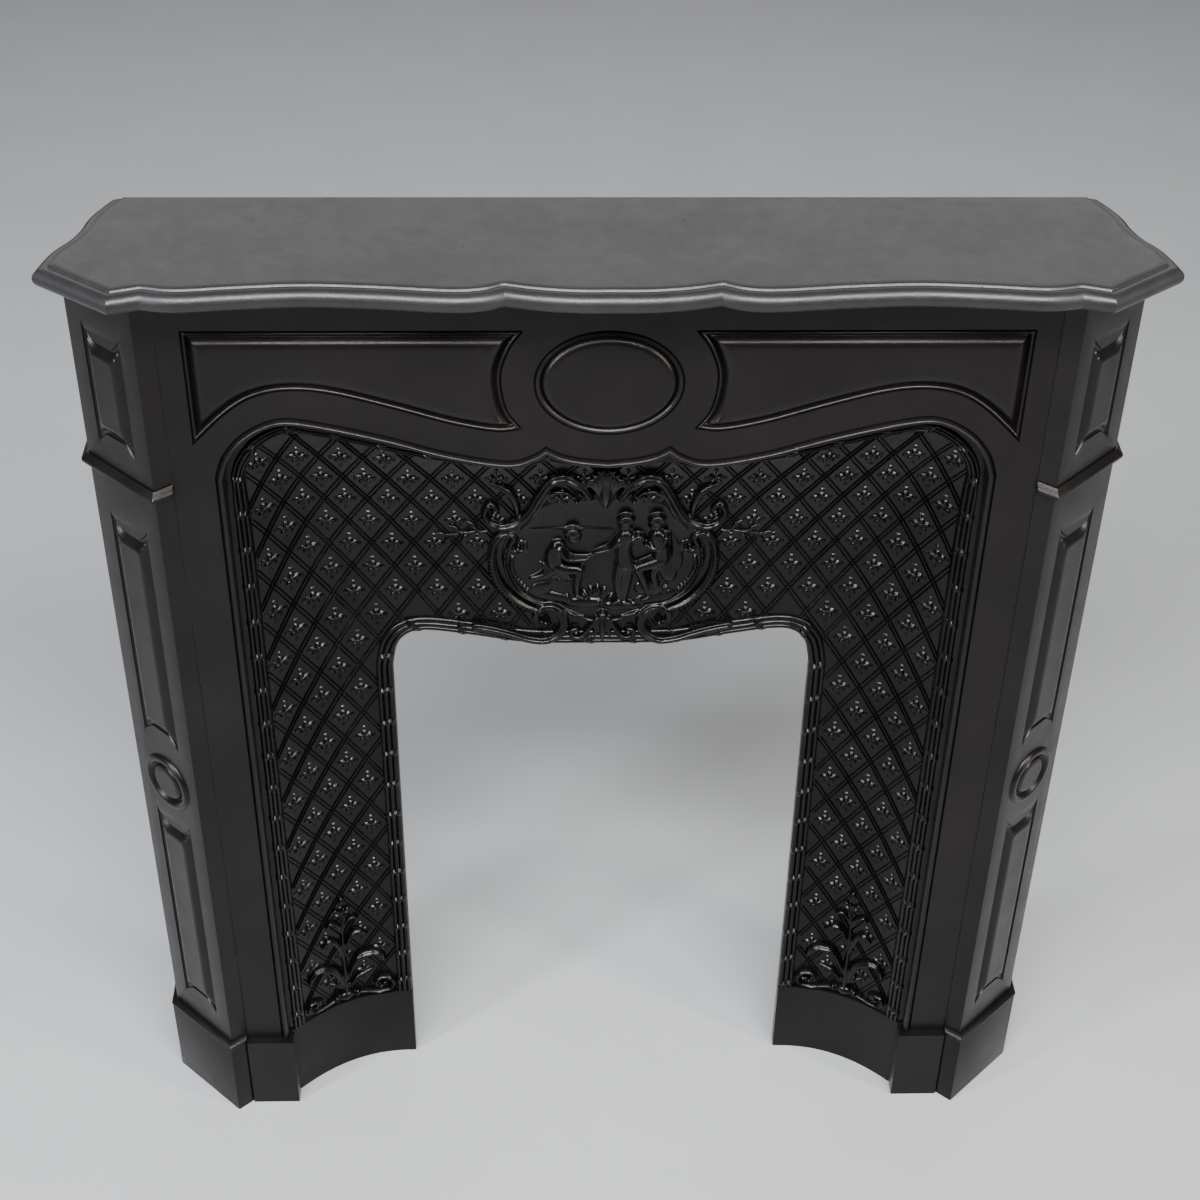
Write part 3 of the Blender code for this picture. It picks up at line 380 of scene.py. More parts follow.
def makeShelf():
    # A section of rounds, quirk and hollow is carried along the serpentine outline
    s = shelfLook
    outline = bothSides(shelfHalfOutline())
    count = len(outline)
    top = common["shelfTop"]
    radius = s["nosingRadius"]
    middle = top - s["nosingDrop"] - radius

    def grown(distance):
        shape = offsetPath(outline, -distance)
        shape[[0, -1], 1] = common["shelfBackDepth"]
        shape[:, 1] = np.clip(shape[:, 1], shelfLow.y - plateDepth + 0.0001, common["shelfBackDepth"])
        return shape

    levels = [(grown(out), top - drop) for out, drop in s["quirk"]]
    for a in np.linspace(0.5, -0.5, 20) * math.pi:
        levels.append((grown(s["nosingOut"] + radius * math.cos(a)), middle + radius * math.sin(a)))
    levels.append((grown(-s["nosingOut"]), top - s["soffitDrop"]))
    bedLow = common["bodyTop"] + common["gap"]
    bedHigh = top - s["soffitDrop"] - s["bedDrop"]
    for t in np.linspace(0, 1, 9):
        hollow = s["bedIn"] + (s["bedOut"] - s["bedIn"]) * (1 - math.sin(0.5 * math.pi * t))
        levels.append((bodyLine(outline, hollow), bedHigh + (bedLow - bedHigh) * t))
    levels.append((bodyLine(outline, -common["iron"]), bedLow))
    levels.append((bodyLine(outline, -common["iron"]), top - s["plate"]))
    parts = Parts()
    starts = [parts.ring(np.column_stack([shape, np.full(count, z)])) for shape, z in levels]
    for a, b in zip(starts, starts[1:]):
        parts.bridge(a, b, count)
    parts.face((starts[0] + np.arange(count), levels[0][0]))
    parts.face((starts[-1] + np.arange(count), levels[-1][0]))
    # The shelf's lighter grey colour is partly a painted reflection of the wall behind
    finishPiece(parts.build("mantel_shelf"), paintedSheenShelfIron, "graphite_iron", "shelf")


# Fielded panels, shared by the plate and the pilasters

def raisePanel(parts, path, profile, place):
    # A profile of (inset, rise) corners, rounded lightly by a curve; gives back its outer ring
    rings = curvePath(profile, 2)
    count = len(path)
    shapes = [insetPath(path, max(0.0, inset)) for inset, rise in rings]
    starts = [parts.ring(place(shape, rise)) for shape, (inset, rise) in zip(shapes, rings)]
    for a, b in zip(starts, starts[1:]):
        parts.bridge(a, b, count)
    parts.face((starts[-1] + np.arange(count), shapes[-1]))
    return starts[0] + np.arange(count), shapes[0]


# Front plate

plateLook = {
    "dip": ((0.0, 0.8975), (0.026, 0.9005), (0.044, 0.9055), (0.057, 0.9130)),
    "swell": ((0.057, 0.9130), (0.070, 0.9035), (0.094, 0.8975), (0.145, 0.9070), (0.199, 0.9240),
              (0.252, 0.9380), (0.289, 0.9445), (0.312, 0.9400), (0.336, 0.9245), (0.353, 0.9025),
              (0.3610, 0.8800)),
    "spacing": 0.003,
    "plinthOut": 0.009,
    "plinthInner": 0.3474,
    "panelTop": 1.035,
    "panelOuter": 0.3775,
    "panelBottom": ((0.0775, 0.9310), (0.103, 0.9285), (0.144, 0.9370), (0.197, 0.9540), (0.250, 0.9690),
                    (0.287, 0.9725), (0.318, 0.9660), (0.345, 0.9480), (0.3775, 0.9150)),
    "panelSide": ((0.0755, 1.035), (0.0885, 1.015), (0.0965, 0.987), (0.0915, 0.953), (0.0775, 0.9310)),
    "panelProfile": ((0.0, 0.0), (0.0006, -0.0018), (0.0014, -0.0018), (0.0020, 0.0), (0.0032, 0.0008),
                     (0.0044, -0.0002), (0.0052, -0.0028), (0.0064, -0.0030), (0.0088, 0.0002),
                     (0.0112, 0.0026), (0.0140, 0.0038), (0.0175, 0.0042), (0.0205, 0.0042)),
    "ovalHalf": (0.068, 0.055),
    "ovalHeight": 0.980,
    "ovalProfile": ((0.0, 0.0), (0.0006, -0.0018), (0.0016, -0.0018), (0.0022, 0.0004), (0.0045, 0.0012),
                    (0.0062, -0.0004), (0.0070, -0.0022), (0.0086, 0.0002), (0.0108, 0.0020),
                    (0.0136, 0.0028), (0.0165, 0.0028)),
    "bead": ((0.0, 0.0), (0.0007, -0.0016), (0.0014, -0.0016), (0.0021, 0.0006), (0.0034, 0.0033),
             (0.0050, 0.0040), (0.0066, 0.0032), (0.0078, 0.0008), (0.0085, -0.0026)),
}


def openingHalf():
    s = plateLook
    return joinPaths(evenPath(curvePath(s["dip"], 12), s["spacing"]),
                     evenPath(curvePath(s["swell"], 12), s["spacing"]))


def openingPath(foot):
    half = np.vstack([openingHalf(), [[common["openingHalf"], foot]]])
    return bothSides(half)


def friezePanel():
    s = plateLook
    bottom = evenPath(curvePath(s["panelBottom"], 12), s["spacing"])
    corner = (s["panelOuter"], s["panelTop"])
    right = evenPath([s["panelBottom"][-1], corner], s["spacing"])
    top = evenPath([corner, s["panelSide"][0]], 2 * s["spacing"])
    side = evenPath(curvePath(s["panelSide"], 12), s["spacing"])
    return joinPaths(bottom, right, top, side)[:-1]


def makePlate():
    # Fielded panels are rings inside their outlines; the bead is a section along the opening
    s = plateLook
    parts = Parts()

    def place(shape, rise):
        return np.column_stack([shape[:, 0], np.full(len(shape), -rise), shape[:, 1]])

    half = common["plateHalf"] - common["gap"]
    foot = common["plinthTall"]
    edge = openingPath(foot)
    high = common["bodyTop"]
    outer = np.array([(-half, foot), (-half, high), (half, high), (half, foot)])
    right = friezePanel()
    left = (right * (-1, 1))[::-1]
    oval = ellipse((0.0, s["ovalHeight"]), s["ovalHalf"], 96)
    holes = [raisePanel(parts, right, s["panelProfile"], place),
             raisePanel(parts, left, s["panelProfile"], place),
             raisePanel(parts, oval, s["ovalProfile"], place)]
    section = np.vstack([curvePath(s["bead"], 2), [[common["beadWidth"], -common["iron"]]]])
    shapes = [offsetPath(edge, -inset) for inset, rise in section]
    strips = [parts.ring(place(shape, rise)) for shape, (inset, rise) in zip(shapes, section)]
    count = len(edge)
    for a, b in zip(strips, strips[1:]):
        parts.bridge(a, b, count, closed=False)
    face = parts.ring(place(outer, 0.0))
    back = parts.ring(place(outer, -common["iron"]))
    numbers = np.arange(count)[::-1]
    parts.face((np.concatenate([face + np.arange(4), strips[0] + numbers]),
                np.vstack([outer, shapes[0][::-1]])), *holes)
    parts.face((np.concatenate([back + np.arange(4), strips[-1] + numbers]),
                np.vstack([outer, shapes[-1][::-1]])))
    parts.bridge(face, back, 4, closed=False)
    for end, corner, side in ((0, 0, -1), (count - 1, 3, 1)):
        outX, inX = side * half, side * s["plinthInner"]
        front, rear = -s["plinthOut"], common["iron"]
        low = parts.ring([(outX, rear, 0), (inX, rear, 0), (inX, front, 0), (outX, front, 0)])
        lid = parts.ring([(inX, rear, foot), (inX, front, foot), (outX, front, foot)])
        ring = [face + corner] + [strip + end for strip in strips]
        flat = [(outX, 0.0)]
        flat += [(shape[end, 0], -rise) for shape, (inset, rise) in zip(shapes, section)]
        flat += [(inX, rear), (inX, front), (outX, front)]
        parts.face((ring + [lid, lid + 1, lid + 2], flat))
        parts.quads.append(np.array([[low + 1, low + 2, lid + 1, lid], [low + 2, low + 3, lid + 2, lid + 1],
                                     [low, low + 1, low + 2, low + 3]]))
        parts.polygons.append([low + 3, low, back + corner, face + corner, lid + 2])
        parts.polygons.append([low, low + 1, lid, strips[-1] + end, back + corner])
    finishPiece(parts.build("frieze_and_jambs"), blackPolish, "black_iron", "front_plate")


# Canted pilasters

pilasterLook = {
    "corner": (0.416, -0.012),
    "outer": (0.486, 0.054),
    "back": 0.085,
    "arris": 0.0012,
    "plinthOut": 0.006,
    "beadTall": 0.007,
    "beadSwell": 0.0012,
    "stringHeight": 0.867,
    "stringTall": 0.012,
    "stringOut": 0.0075,
    "margin": 0.021,
    "lobeRise": 0.016,
    "upper": (0.892, 1.024),
    "long": (0.537, 0.816),
    "lower": (0.140, 0.432),
    "roundelHeight": 0.482,
    "roundelRadius": 0.034,
    "panelProfile": ((0.0, 0.0), (0.0005, -0.0016), (0.0014, -0.0020), (0.0036, -0.0020), (0.0046, -0.0012),
                     (0.0076, 0.0010), (0.0105, 0.0028), (0.0130, 0.0034), (0.0150, 0.0034)),
    "roundelProfile": ((0.0, 0.0), (0.0006, 0.0012), (0.0024, 0.0031), (0.0048, 0.0035), (0.0074, 0.0029),
                       (0.0096, 0.0002), (0.0110, -0.0014), (0.0124, -0.0008), (0.0142, 0.0016),
                       (0.0175, 0.0026), (0.0190, 0.0028), (0.0210, 0.0028)),
}


def pilasterPlan(out):
    # The plate's edge, the corner, the outer corner and the side's back edge, arrises eased
    s = pilasterLook
    line = offsetPath([(common["plateHalf"] + common["gap"], 0.0), s["corner"], s["outer"],
                       (s["outer"][0], s["back"])], -out)
    line[0] = (common["plateHalf"] + common["gap"], -out)
    line[3] = (line[3][0], s["back"])
    plan = [line[0]]
    for k in (1, 2):
        before = (line[k - 1] - line[k]) / np.linalg.norm(line[k - 1] - line[k])
        after = (line[k + 1] - line[k]) / np.linalg.norm(line[k + 1] - line[k])
        for t in (0.0, 0.5, 1.0):
            ease = s["arris"] * ((1 - t) ** 2 * before + t ** 2 * after)
            plan.append(line[k] + ease)
    return np.array(plan + [line[3]])


def lobedPanel(width, span):
    # Straight sides, and ends hollowed by a flat lobe whose shoulders are rounded
    s = pilasterLook
    inner, outer = s["margin"], width - s["margin"]
    low, high = span
    turn = np.linspace(0, 1, 17)
    across = inner + (outer - inner) * turn
    lobe = s["lobeRise"] * np.clip(1.25 * np.sin(math.pi * turn) ** 0.8, 0, 1)
    bottom = np.stack([across, low + lobe], 1)
    top = np.stack([across[::-1], high - lobe[::-1]], 1)
    rightSide = evenPath([bottom[-1], top[0]], 0.006)
    leftSide = evenPath([top[-1], bottom[0]], 0.006)
    return joinPaths(bottom, rightSide, top, leftSide)[:-1]


def makePilaster(side, name, nodeName):
    # The plan's line is swept up the mouldings; the canted face carries its panels
    s = pilasterLook
    parts = Parts()
    start, end = np.array(s["corner"]), np.array(s["outer"])
    width = float(np.linalg.norm(end - start))
    along = (end - start) / width
    normal = np.array([along[1], -along[0]])

    def place(shape, rise):
        spot = start + shape[:, :1] * along + rise * normal
        return np.column_stack([side * spot[:, 0], spot[:, 1], shape[:, 1]])

    tall, bead, half = common["plinthTall"], s["beadTall"], 0.5 * s["stringTall"]
    climb = np.linspace(0, 1, 7)
    beadRise = [(s["plinthOut"] + s["beadSwell"] * math.sin(math.pi * t) - (s["plinthOut"] - 0.0006) * t ** 3,
                 tall + bead * t) for t in climb]
    bulge = [(0.55 + 0.45 * math.sin(math.pi * min(1, 1.15 * t))) * (1 - 0.6 * t ** 4) for t in climb]
    stringRise = [(s["stringOut"] * swell, s["stringHeight"] - half + s["stringTall"] * t)
                  for swell, t in zip(bulge, climb)]
    mouldings = [(s["plinthOut"], 0.0), (s["plinthOut"], tall - 0.001), (s["plinthOut"] - 0.0004, tall)]
    mouldings += beadRise + [(0.0, tall + bead)]
    lowZone = len(mouldings) - 1
    mouldings += [(0.0, s["stringHeight"] - half)] + stringRise + [(0.0, s["stringHeight"] + half)]
    highZone = len(mouldings) - 1
    mouldings += [(0.0, common["bodyTop"])]
    plans = [pilasterPlan(out) for out, z in mouldings]
    count = len(plans[0])
    levels = [parts.ring(np.column_stack([side * plan[:, 0], plan[:, 1], np.full(count, z)]))
              for plan, (out, z) in zip(plans, mouldings)]
    roundel = ellipse((0.5 * width, s["roundelHeight"]), (s["roundelRadius"], s["roundelRadius"]), 72)
    holes = {lowZone: [raisePanel(parts, lobedPanel(width, s["long"]), s["panelProfile"], place),
                       raisePanel(parts, lobedPanel(width, s["lower"]), s["panelProfile"], place),
                       raisePanel(parts, roundel, s["roundelProfile"], place)],
             highZone: [raisePanel(parts, lobedPanel(width, s["upper"]), s["panelProfile"], place)]}
    first, last = 3, 4           # plan points between which the canted face lies
    for k, (below, above) in enumerate(zip(levels, levels[1:])):
        quads = bridgeRings(below, above, count, closed=False)
        if k in holes:
            quads = np.delete(quads, first, 0)
            low, high = mouldings[k][1], mouldings[k + 1][1]
            ends = [(plans[k][i] - start) @ along for i in (first, last)]
            ring = [below + first, below + last, above + last, above + first]
            flat = [(ends[0], low), (ends[1], low), (ends[1], high), (ends[0], high)]
            parts.face((ring, flat), *holes[k])
        parts.quads.append(quads)
    core = pilasterPlan(-common["iron"])
    core[0] = (common["plateHalf"] + common["gap"], common["iron"])
    back = [parts.ring(np.column_stack([side * core[:, 0], core[:, 1], np.full(count, z)]))
            for z in (0.0, common["bodyTop"])]
    parts.bridge(back[0], back[1], count, closed=False)
    parts.bridge(levels[0], back[0], count, closed=False)
    parts.bridge(levels[-1], back[1], count, closed=False)
    for i, axis in ((0, 1), (count - 1, 0)):
        ring = [level + i for level in levels] + [back[1] + i, back[0] + i]
        flat = [(plan[i][axis], z) for plan, (out, z) in zip(plans, mouldings)]
        flat += [(core[i][axis], common["bodyTop"]), (core[i][axis], 0.0)]
        parts.face((ring, flat))
    finishPiece(parts.build(name), blackPolish, "black_iron", nodeName)


# Coved insert

insertLook = {
    "flangeHalf": 0.374,
    "flangeTop": 0.962,
    "fireCorner": 0.030,
    "fireArch": ((0.0, -0.002), (0.050, -0.002), (0.083, 0.0), (0.130, 0.009), (0.174, 0.016),
                 (0.195, 0.013), (0.2085, -0.002), (0.2145, -0.030)),
    "frontDepth": 0.0083,
    "backDepth": 0.0705,
    "covePower": 2.3,
    "coveTopLow": 0.9225,
    "coveTopEnd": 0.02,            # the arch's line is followed to this far from the leg
    "coveBlend": 6,
    "groundStep": 0.005,
    "archColumns": 121,
    "plinthLap": 0.003,            # how far the ground reaches down behind the plinth
    "plinthClear": 0.004,          # below this it keeps clear of the jamb's plinth
    "plinthProud": 0.004,
    "plinthThin": 0.003,           # its least thickness
    "plinthColumns": 40,
    "latticeWide": 0.0414,
    "latticeTall": 0.0646,
    "latticeMiddle": 0.7284,
    "ribSpacing": 0.0020,          # from a rib's middle to each of its two ridges
    "ribRidge": 0.0009,
    "ribRise": 0.0018,
    "ribShoulder": 0.0013,
    "ribFoot": -0.0008,
    "ribCount": 22,                # ribs each way from the middle one
    "ribReach": 0.70,
    "ribStep": 0.004,
    "ribOver": 0.002,              # how far the ribs run in under what surrounds the field
    "flowerRows": (-24, 12),
    "flowerColumns": (-10, 11),
    "flowerHalf": (0.0115, 0.0150),
    "flowerGrid": (45, 9),         # spokes and rings
    "flowerClear": 0.004,
    "flowerRise": 0.0031,
    "flowerSunk": (0.0010, 0.0001),   # how far its rim, and all the rest, goes into the ground
    "hubRise": 0.0034,
    "petals": 5,
    "petalReach": 0.0047,
    "petalHalf": (0.0032, 0.0024),
    "centreRadius": 0.0021,
    "centreRise": 0.0030,
    "sprigs": ((0, 0.0125), (0, -0.0120), (0.0092, 0.0), (-0.0092, 0.0)),
    "sprigHalf": (0.0019, 0.0026),
    "sprigRise": 0.0018,
    "outerSet": 0.0045,            # dark hollow left between the opening's bead and the border
    "outerWide": 0.0130,
    "fireWide": 0.0180,
    "borderRise": 0.0045,
    "reeds": 3,
    "tieEvery": 0.044,
    "tieWide": 0.0030,
    "tieSwell": 1.45,              # how far a ribbon stands over the reeds it binds
    "tieSlant": 0.35,
    "borderStep": 0.0022,
    "borderColumns": 25,
    "cartoucheMiddle": (0.0, 0.734),
    "cartoucheClear": (0.112, 0.088),
}
openingCurve = openingHalf()
keepX = openingCurve[:, 0] < common["openingHalf"] - insertLook["coveTopEnd"]
coveTopX, coveTopZ = openingCurve[keepX, 0], openingCurve[keepX, 1]


def cove(x, z):
    # Depth grows from the border to the fire by one minus a power of the distance left to go,
    # across the legs and down the arch together, joined in the corners by a mean of high power
    s = insertLook
    edge = common["openingHalf"] - common["beadWidth"]
    a = np.clip((edge - np.abs(x)) / (edge - common["fireHalf"]), 0, 1)
    top = np.maximum(np.interp(np.abs(x), coveTopX, coveTopZ), s["coveTopLow"]) - common["beadWidth"]
    b = np.clip((top - z) / (top - common["fireTop"]), 0, 1)
    power = s["coveBlend"]
    far = np.minimum(1.0, ((1 - a) ** power + (1 - b) ** power) ** (1 / power))
    return s["frontDepth"] + (s["backDepth"] - s["frontDepth"]) * (1 - far ** s["covePower"])


def fireEdge(x):
    arch = curvePath(np.array(insertLook["fireArch"]) + (0, common["fireTop"]), 10)
    return np.interp(np.abs(x), arch[:, 0], arch[:, 1])


def firePath(foot):
    arch = evenPath(curvePath(np.array(insertLook["fireArch"]) + (0, common["fireTop"]), 12), 0.003)
    half = np.vstack([arch, [[common["fireHalf"], foot]]])
    return bothSides(half)


def gridQuads(rows, columns, first=0):
    i, j = np.meshgrid(np.arange(rows - 1), np.arange(columns - 1), indexing="ij")
    a = first + i * columns + j
    return np.stack([a, a + 1, a + columns + 1, a + columns], -1).reshape(-1, 4)


def asPoints(x, depth, z):
    return np.stack([x, depth, z], -1).reshape(-1, 3)


def addShell(parts, x, z):
    # A plate on a grid: the front follows the cove, the back stands one wall behind it
    rows, columns = x.shape
    depth = cove(x, z)
    front = parts.ring(asPoints(x, depth, z))
    back = parts.ring(asPoints(x, depth + common["iron"], z))
    parts.quads.append(gridQuads(rows, columns, front))
    parts.quads.append(gridQuads(rows, columns, back)[:, ::-1])
    return front, back


def sewEdge(parts, line, front, back):
    # Closes a shell between its front and its back along one line of its vertices
    parts.quads.append(np.stack([front + line[:-1], front + line[1:], back + line[1:], back + line[:-1]], 1))


def makeGround():
    # Three blocks of one casting: two legs and the arch between them, sharing their edges
    s = insertLook
    parts = Parts()
    low = common["plinthTall"] - s["plinthLap"]
    shoulder = common["fireTop"] - s["fireCorner"]
    legRows = evenPath([(0, low), (0, shoulder)], s["groundStep"])[:, 1]
    archRows = evenPath([(0, shoulder), (0, s["flangeTop"])], s["groundStep"])[:, 1]
    allRows = np.concatenate([legRows[:-1], archRows])
    legX = evenPath([(common["fireHalf"], 0), (s["flangeHalf"], 0)], s["groundStep"])[:, 0]
    for side in (-1, 1):
        x, z = np.meshgrid(side * legX, allRows)
        x = np.where(z < common["plinthTall"] + s["plinthClear"],
                     side * np.minimum(np.abs(x), plateLook["plinthInner"] - common["gap"]), x)
        front, back = addShell(parts, x, z)
        rows, columns = x.shape
        foot = np.arange(columns)
        wallSide = np.arange(rows) * columns + columns - 1
        fireSide = np.arange(len(legRows)) * columns
        for line in (foot, (rows - 1) * columns + foot, wallSide, fireSide):
            sewEdge(parts, line, front, back)
    turn = np.linspace(-0.5, 0.5, s["archColumns"]) * math.pi
    archX = common["fireHalf"] * np.sin(turn)
    share = (archRows - shoulder) / (s["flangeTop"] - shoulder)
    edge = fireEdge(archX)
    edge[[0, -1]] = shoulder
    z = edge[None, :] + share[:, None] * (s["flangeTop"] - edge[None, :])
    x = np.broadcast_to(archX, z.shape)
    front, back = addShell(parts, x, z)
    foot = np.arange(len(archX))
    for line in (foot, (len(archRows) - 1) * len(archX) + foot):
        sewEdge(parts, line, front, back)
    finishPiece(parts.build("insert_ground", sharp=40), glossIron, "gloss_black_iron", "insert")


def makeCovedPlinth(side, name):
    # The leg's hollow plan, a little proud of it, raised from the floor
    s = insertLook
    columns = s["plinthColumns"]
    xs = np.linspace(common["openingHalf"], common["fireHalf"], columns)
    depth = cove(xs, np.full(columns, common["legHeight"]))
    front = np.maximum(depth - s["plinthProud"], common["iron"] + common["gap"])
    back = np.maximum(front + s["plinthThin"], depth + common["iron"])
    tall = common["plinthTall"]
    parts = Parts()
    levels = ((0.0, 0.0), (0.0, tall - 0.0014), (0.0004, tall - 0.0004), (0.0014, tall))
    starts = []
    for ease, z in levels:
        ring = np.vstack([np.stack([xs, front + ease], 1), np.stack([xs, back], 1)[::-1]])
        starts.append(parts.ring(np.column_stack([side * ring[:, 0], ring[:, 1], np.full(len(ring), z)])))
    for a, b in zip(starts, starts[1:]):
        parts.bridge(a, b, 2 * columns)
    i = np.arange(columns - 1)
    last = 2 * columns - 1
    for first in (starts[0], starts[-1]):
        parts.quads.append(np.stack([first + i, first + i + 1, first + last - 1 - i, first + last - i], 1))
    finishPiece(parts.build(name), blackPolish, "gloss_black_iron")


def makeBorder(name, path, inward, wide):
    # Three reeds across, bound by slanting ribbons at even steps, carried along the edge
    s = insertLook
    line = evenPath(path, s["borderStep"])
    across = np.linspace(0, 1, s["borderColumns"])
    step = np.gradient(line, axis=0)
    step /= np.linalg.norm(step, axis=1, keepdims=True)
    normal = np.stack([-step[:, 1], step[:, 0]], 1) * inward
    run = np.concatenate([[0], np.cumsum(np.linalg.norm(np.diff(line, axis=0), axis=1))])
    spot = line[:, None, :] + normal[:, None, :] * (across * wide)[None, :, None]
    swell = np.sin(math.pi * across) ** 0.35
    reeds = 0.40 + 0.60 * np.abs(np.sin(s["reeds"] * math.pi * across)) ** 0.7
    slant = run[:, None] + s["tieSlant"] * wide * (across - 0.5)[None, :]
    slant = slant % s["tieEvery"] - 0.5 * s["tieEvery"]
    tie = np.exp(-(slant / s["tieWide"]) ** 4)
    cut = 1 - 0.25 * np.exp(-(slant / (0.2 * s["tieWide"])) ** 2)
    rise = s["borderRise"] * swell[None, :] * ((1 - tie) * reeds[None, :] + tie * s["tieSwell"] * cut)
    rise[:, [0, -1]] = -common["sunk"]
    x, z = spot[..., 0], spot[..., 1]
    points = asPoints(x, cove(x, z) - rise, z)
    parts = Parts()
    parts.quads.append(gridQuads(len(line), len(across), parts.ring(points)))
    finishRelief(parts.build(name, outward=False))


def finishRelief(piece):
    # An open relief faces the front: flip it where it looks away
    mesh = piece.data
    normals = np.empty(len(mesh.polygons) * 3)
    mesh.polygons.foreach_get("normal", normals)
    if normals[1::3].mean() > 0:
        mesh.flip_normals()
    finishPiece(piece, glossIron, "gloss_black_iron")


def usedOnly(points, quads):
    # Leaves out the points that no quad uses
    used, numbers = np.unique(quads, return_inverse=True)
    return points[used], numbers.reshape(-1, 4)


def fieldMask(x, z, clear):
    # True on the latticed ground, clear of both borders, the cartouche and the plinth
    s = insertLook
    edgeGap = common["beadWidth"] + s["outerSet"] + s["outerWide"]
    outer, _, outerSide = nearestOnPath(x, z, openingLine)
    inner, _, innerSide = nearestOnPath(x, z, fireLine)
    mx, mz = s["cartoucheMiddle"]
    rx, rz = s["cartoucheClear"]
    offCartouche = ((x - mx) / rx) ** 2 + ((z - mz) / rz) ** 2 > 1
    inside = (outerSide < 0) & (outer > edgeGap + clear)
    offFire = (innerSide > 0) & (inner > s["fireWide"] + clear)
    return inside & offFire & offCartouche & (z > common["plinthTall"] + clear)


def laidOn(u, v):
    # The lattice was drawn on the curved ground: u and v are lengths along the hollow
    s = insertLook
    steps = 90

    def unrolled(values, first, span, depth):
        run = span[0] + np.cumsum(np.hypot(np.diff(span), np.diff(depth)))
        return np.interp(values, np.concatenate([[first, span[0]], run]), np.concatenate([[first], span]))

    spanX = np.linspace(common["fireHalf"], s["flangeHalf"], steps)
    spanZ = np.linspace(common["fireTop"], s["flangeTop"], steps)
    x = unrolled(np.abs(u), 0, spanX, cove(spanX, np.full(steps, common["legHeight"])))
    return np.sign(u) * x, unrolled(v, -1, spanZ, cove(np.zeros(steps), spanZ))


def makeLattice():
    # Straight double ribs in both diagonals, each drawn where the ground is clear
    s = insertLook
    wide, tall = s["latticeWide"], s["latticeTall"]
    slope = math.hypot(1 / wide, 1 / tall)
    ridge = np.array([-1.0, -0.6, 0.0, 0.6, 1.0]) * s["ribRidge"]
    across = np.concatenate([ridge - s["ribSpacing"], ridge + s["ribSpacing"]])
    rise = np.tile([s["ribFoot"], s["ribShoulder"], s["ribRise"], s["ribShoulder"], s["ribFoot"]], 2)
    travel = np.arange(-s["ribReach"], s["ribReach"], s["ribStep"])
    number = np.arange(-s["ribCount"], s["ribCount"] + 1)
    middle = np.array([0.0, s["latticeMiddle"]])
    parts = Parts()
    for turn in (-1, 1):
        normal = np.array([1 / wide, turn / tall]) / slope
        along = np.array([-normal[1], normal[0]])
        centre = middle + number[:, None] * normal / slope
        spot = centre[:, None, None, :] + travel[None, :, None, None] * along \
            + across[None, None, :, None] * normal
        x, z = laidOn(spot[..., 0], spot[..., 1])
        depth = cove(x, z) - rise[None, None, :]
        keep = fieldMask(x[:, :, 2], z[:, :, 2], -s["ribOver"])
        first = parts.ring(asPoints(x, depth, z))
        n, m, k = x.shape
        i, j, c = np.meshgrid(np.arange(n), np.arange(m - 1), np.arange(k - 1), indexing="ij")
        both = keep[i, j] & keep[i, j + 1] & (c != len(ridge) - 1)
        a = first + (i * m + j) * k + c
        quads = np.stack([a, a + 1, a + k + 1, a + k], -1)[both]
        parts.quads.append(quads if turn > 0 else quads[:, ::-1])
    points, quads = usedOnly(np.vstack(parts.points), np.vstack(parts.quads))
    finishRelief(buildMesh("lattice_ribs", points, quads, outward=False))


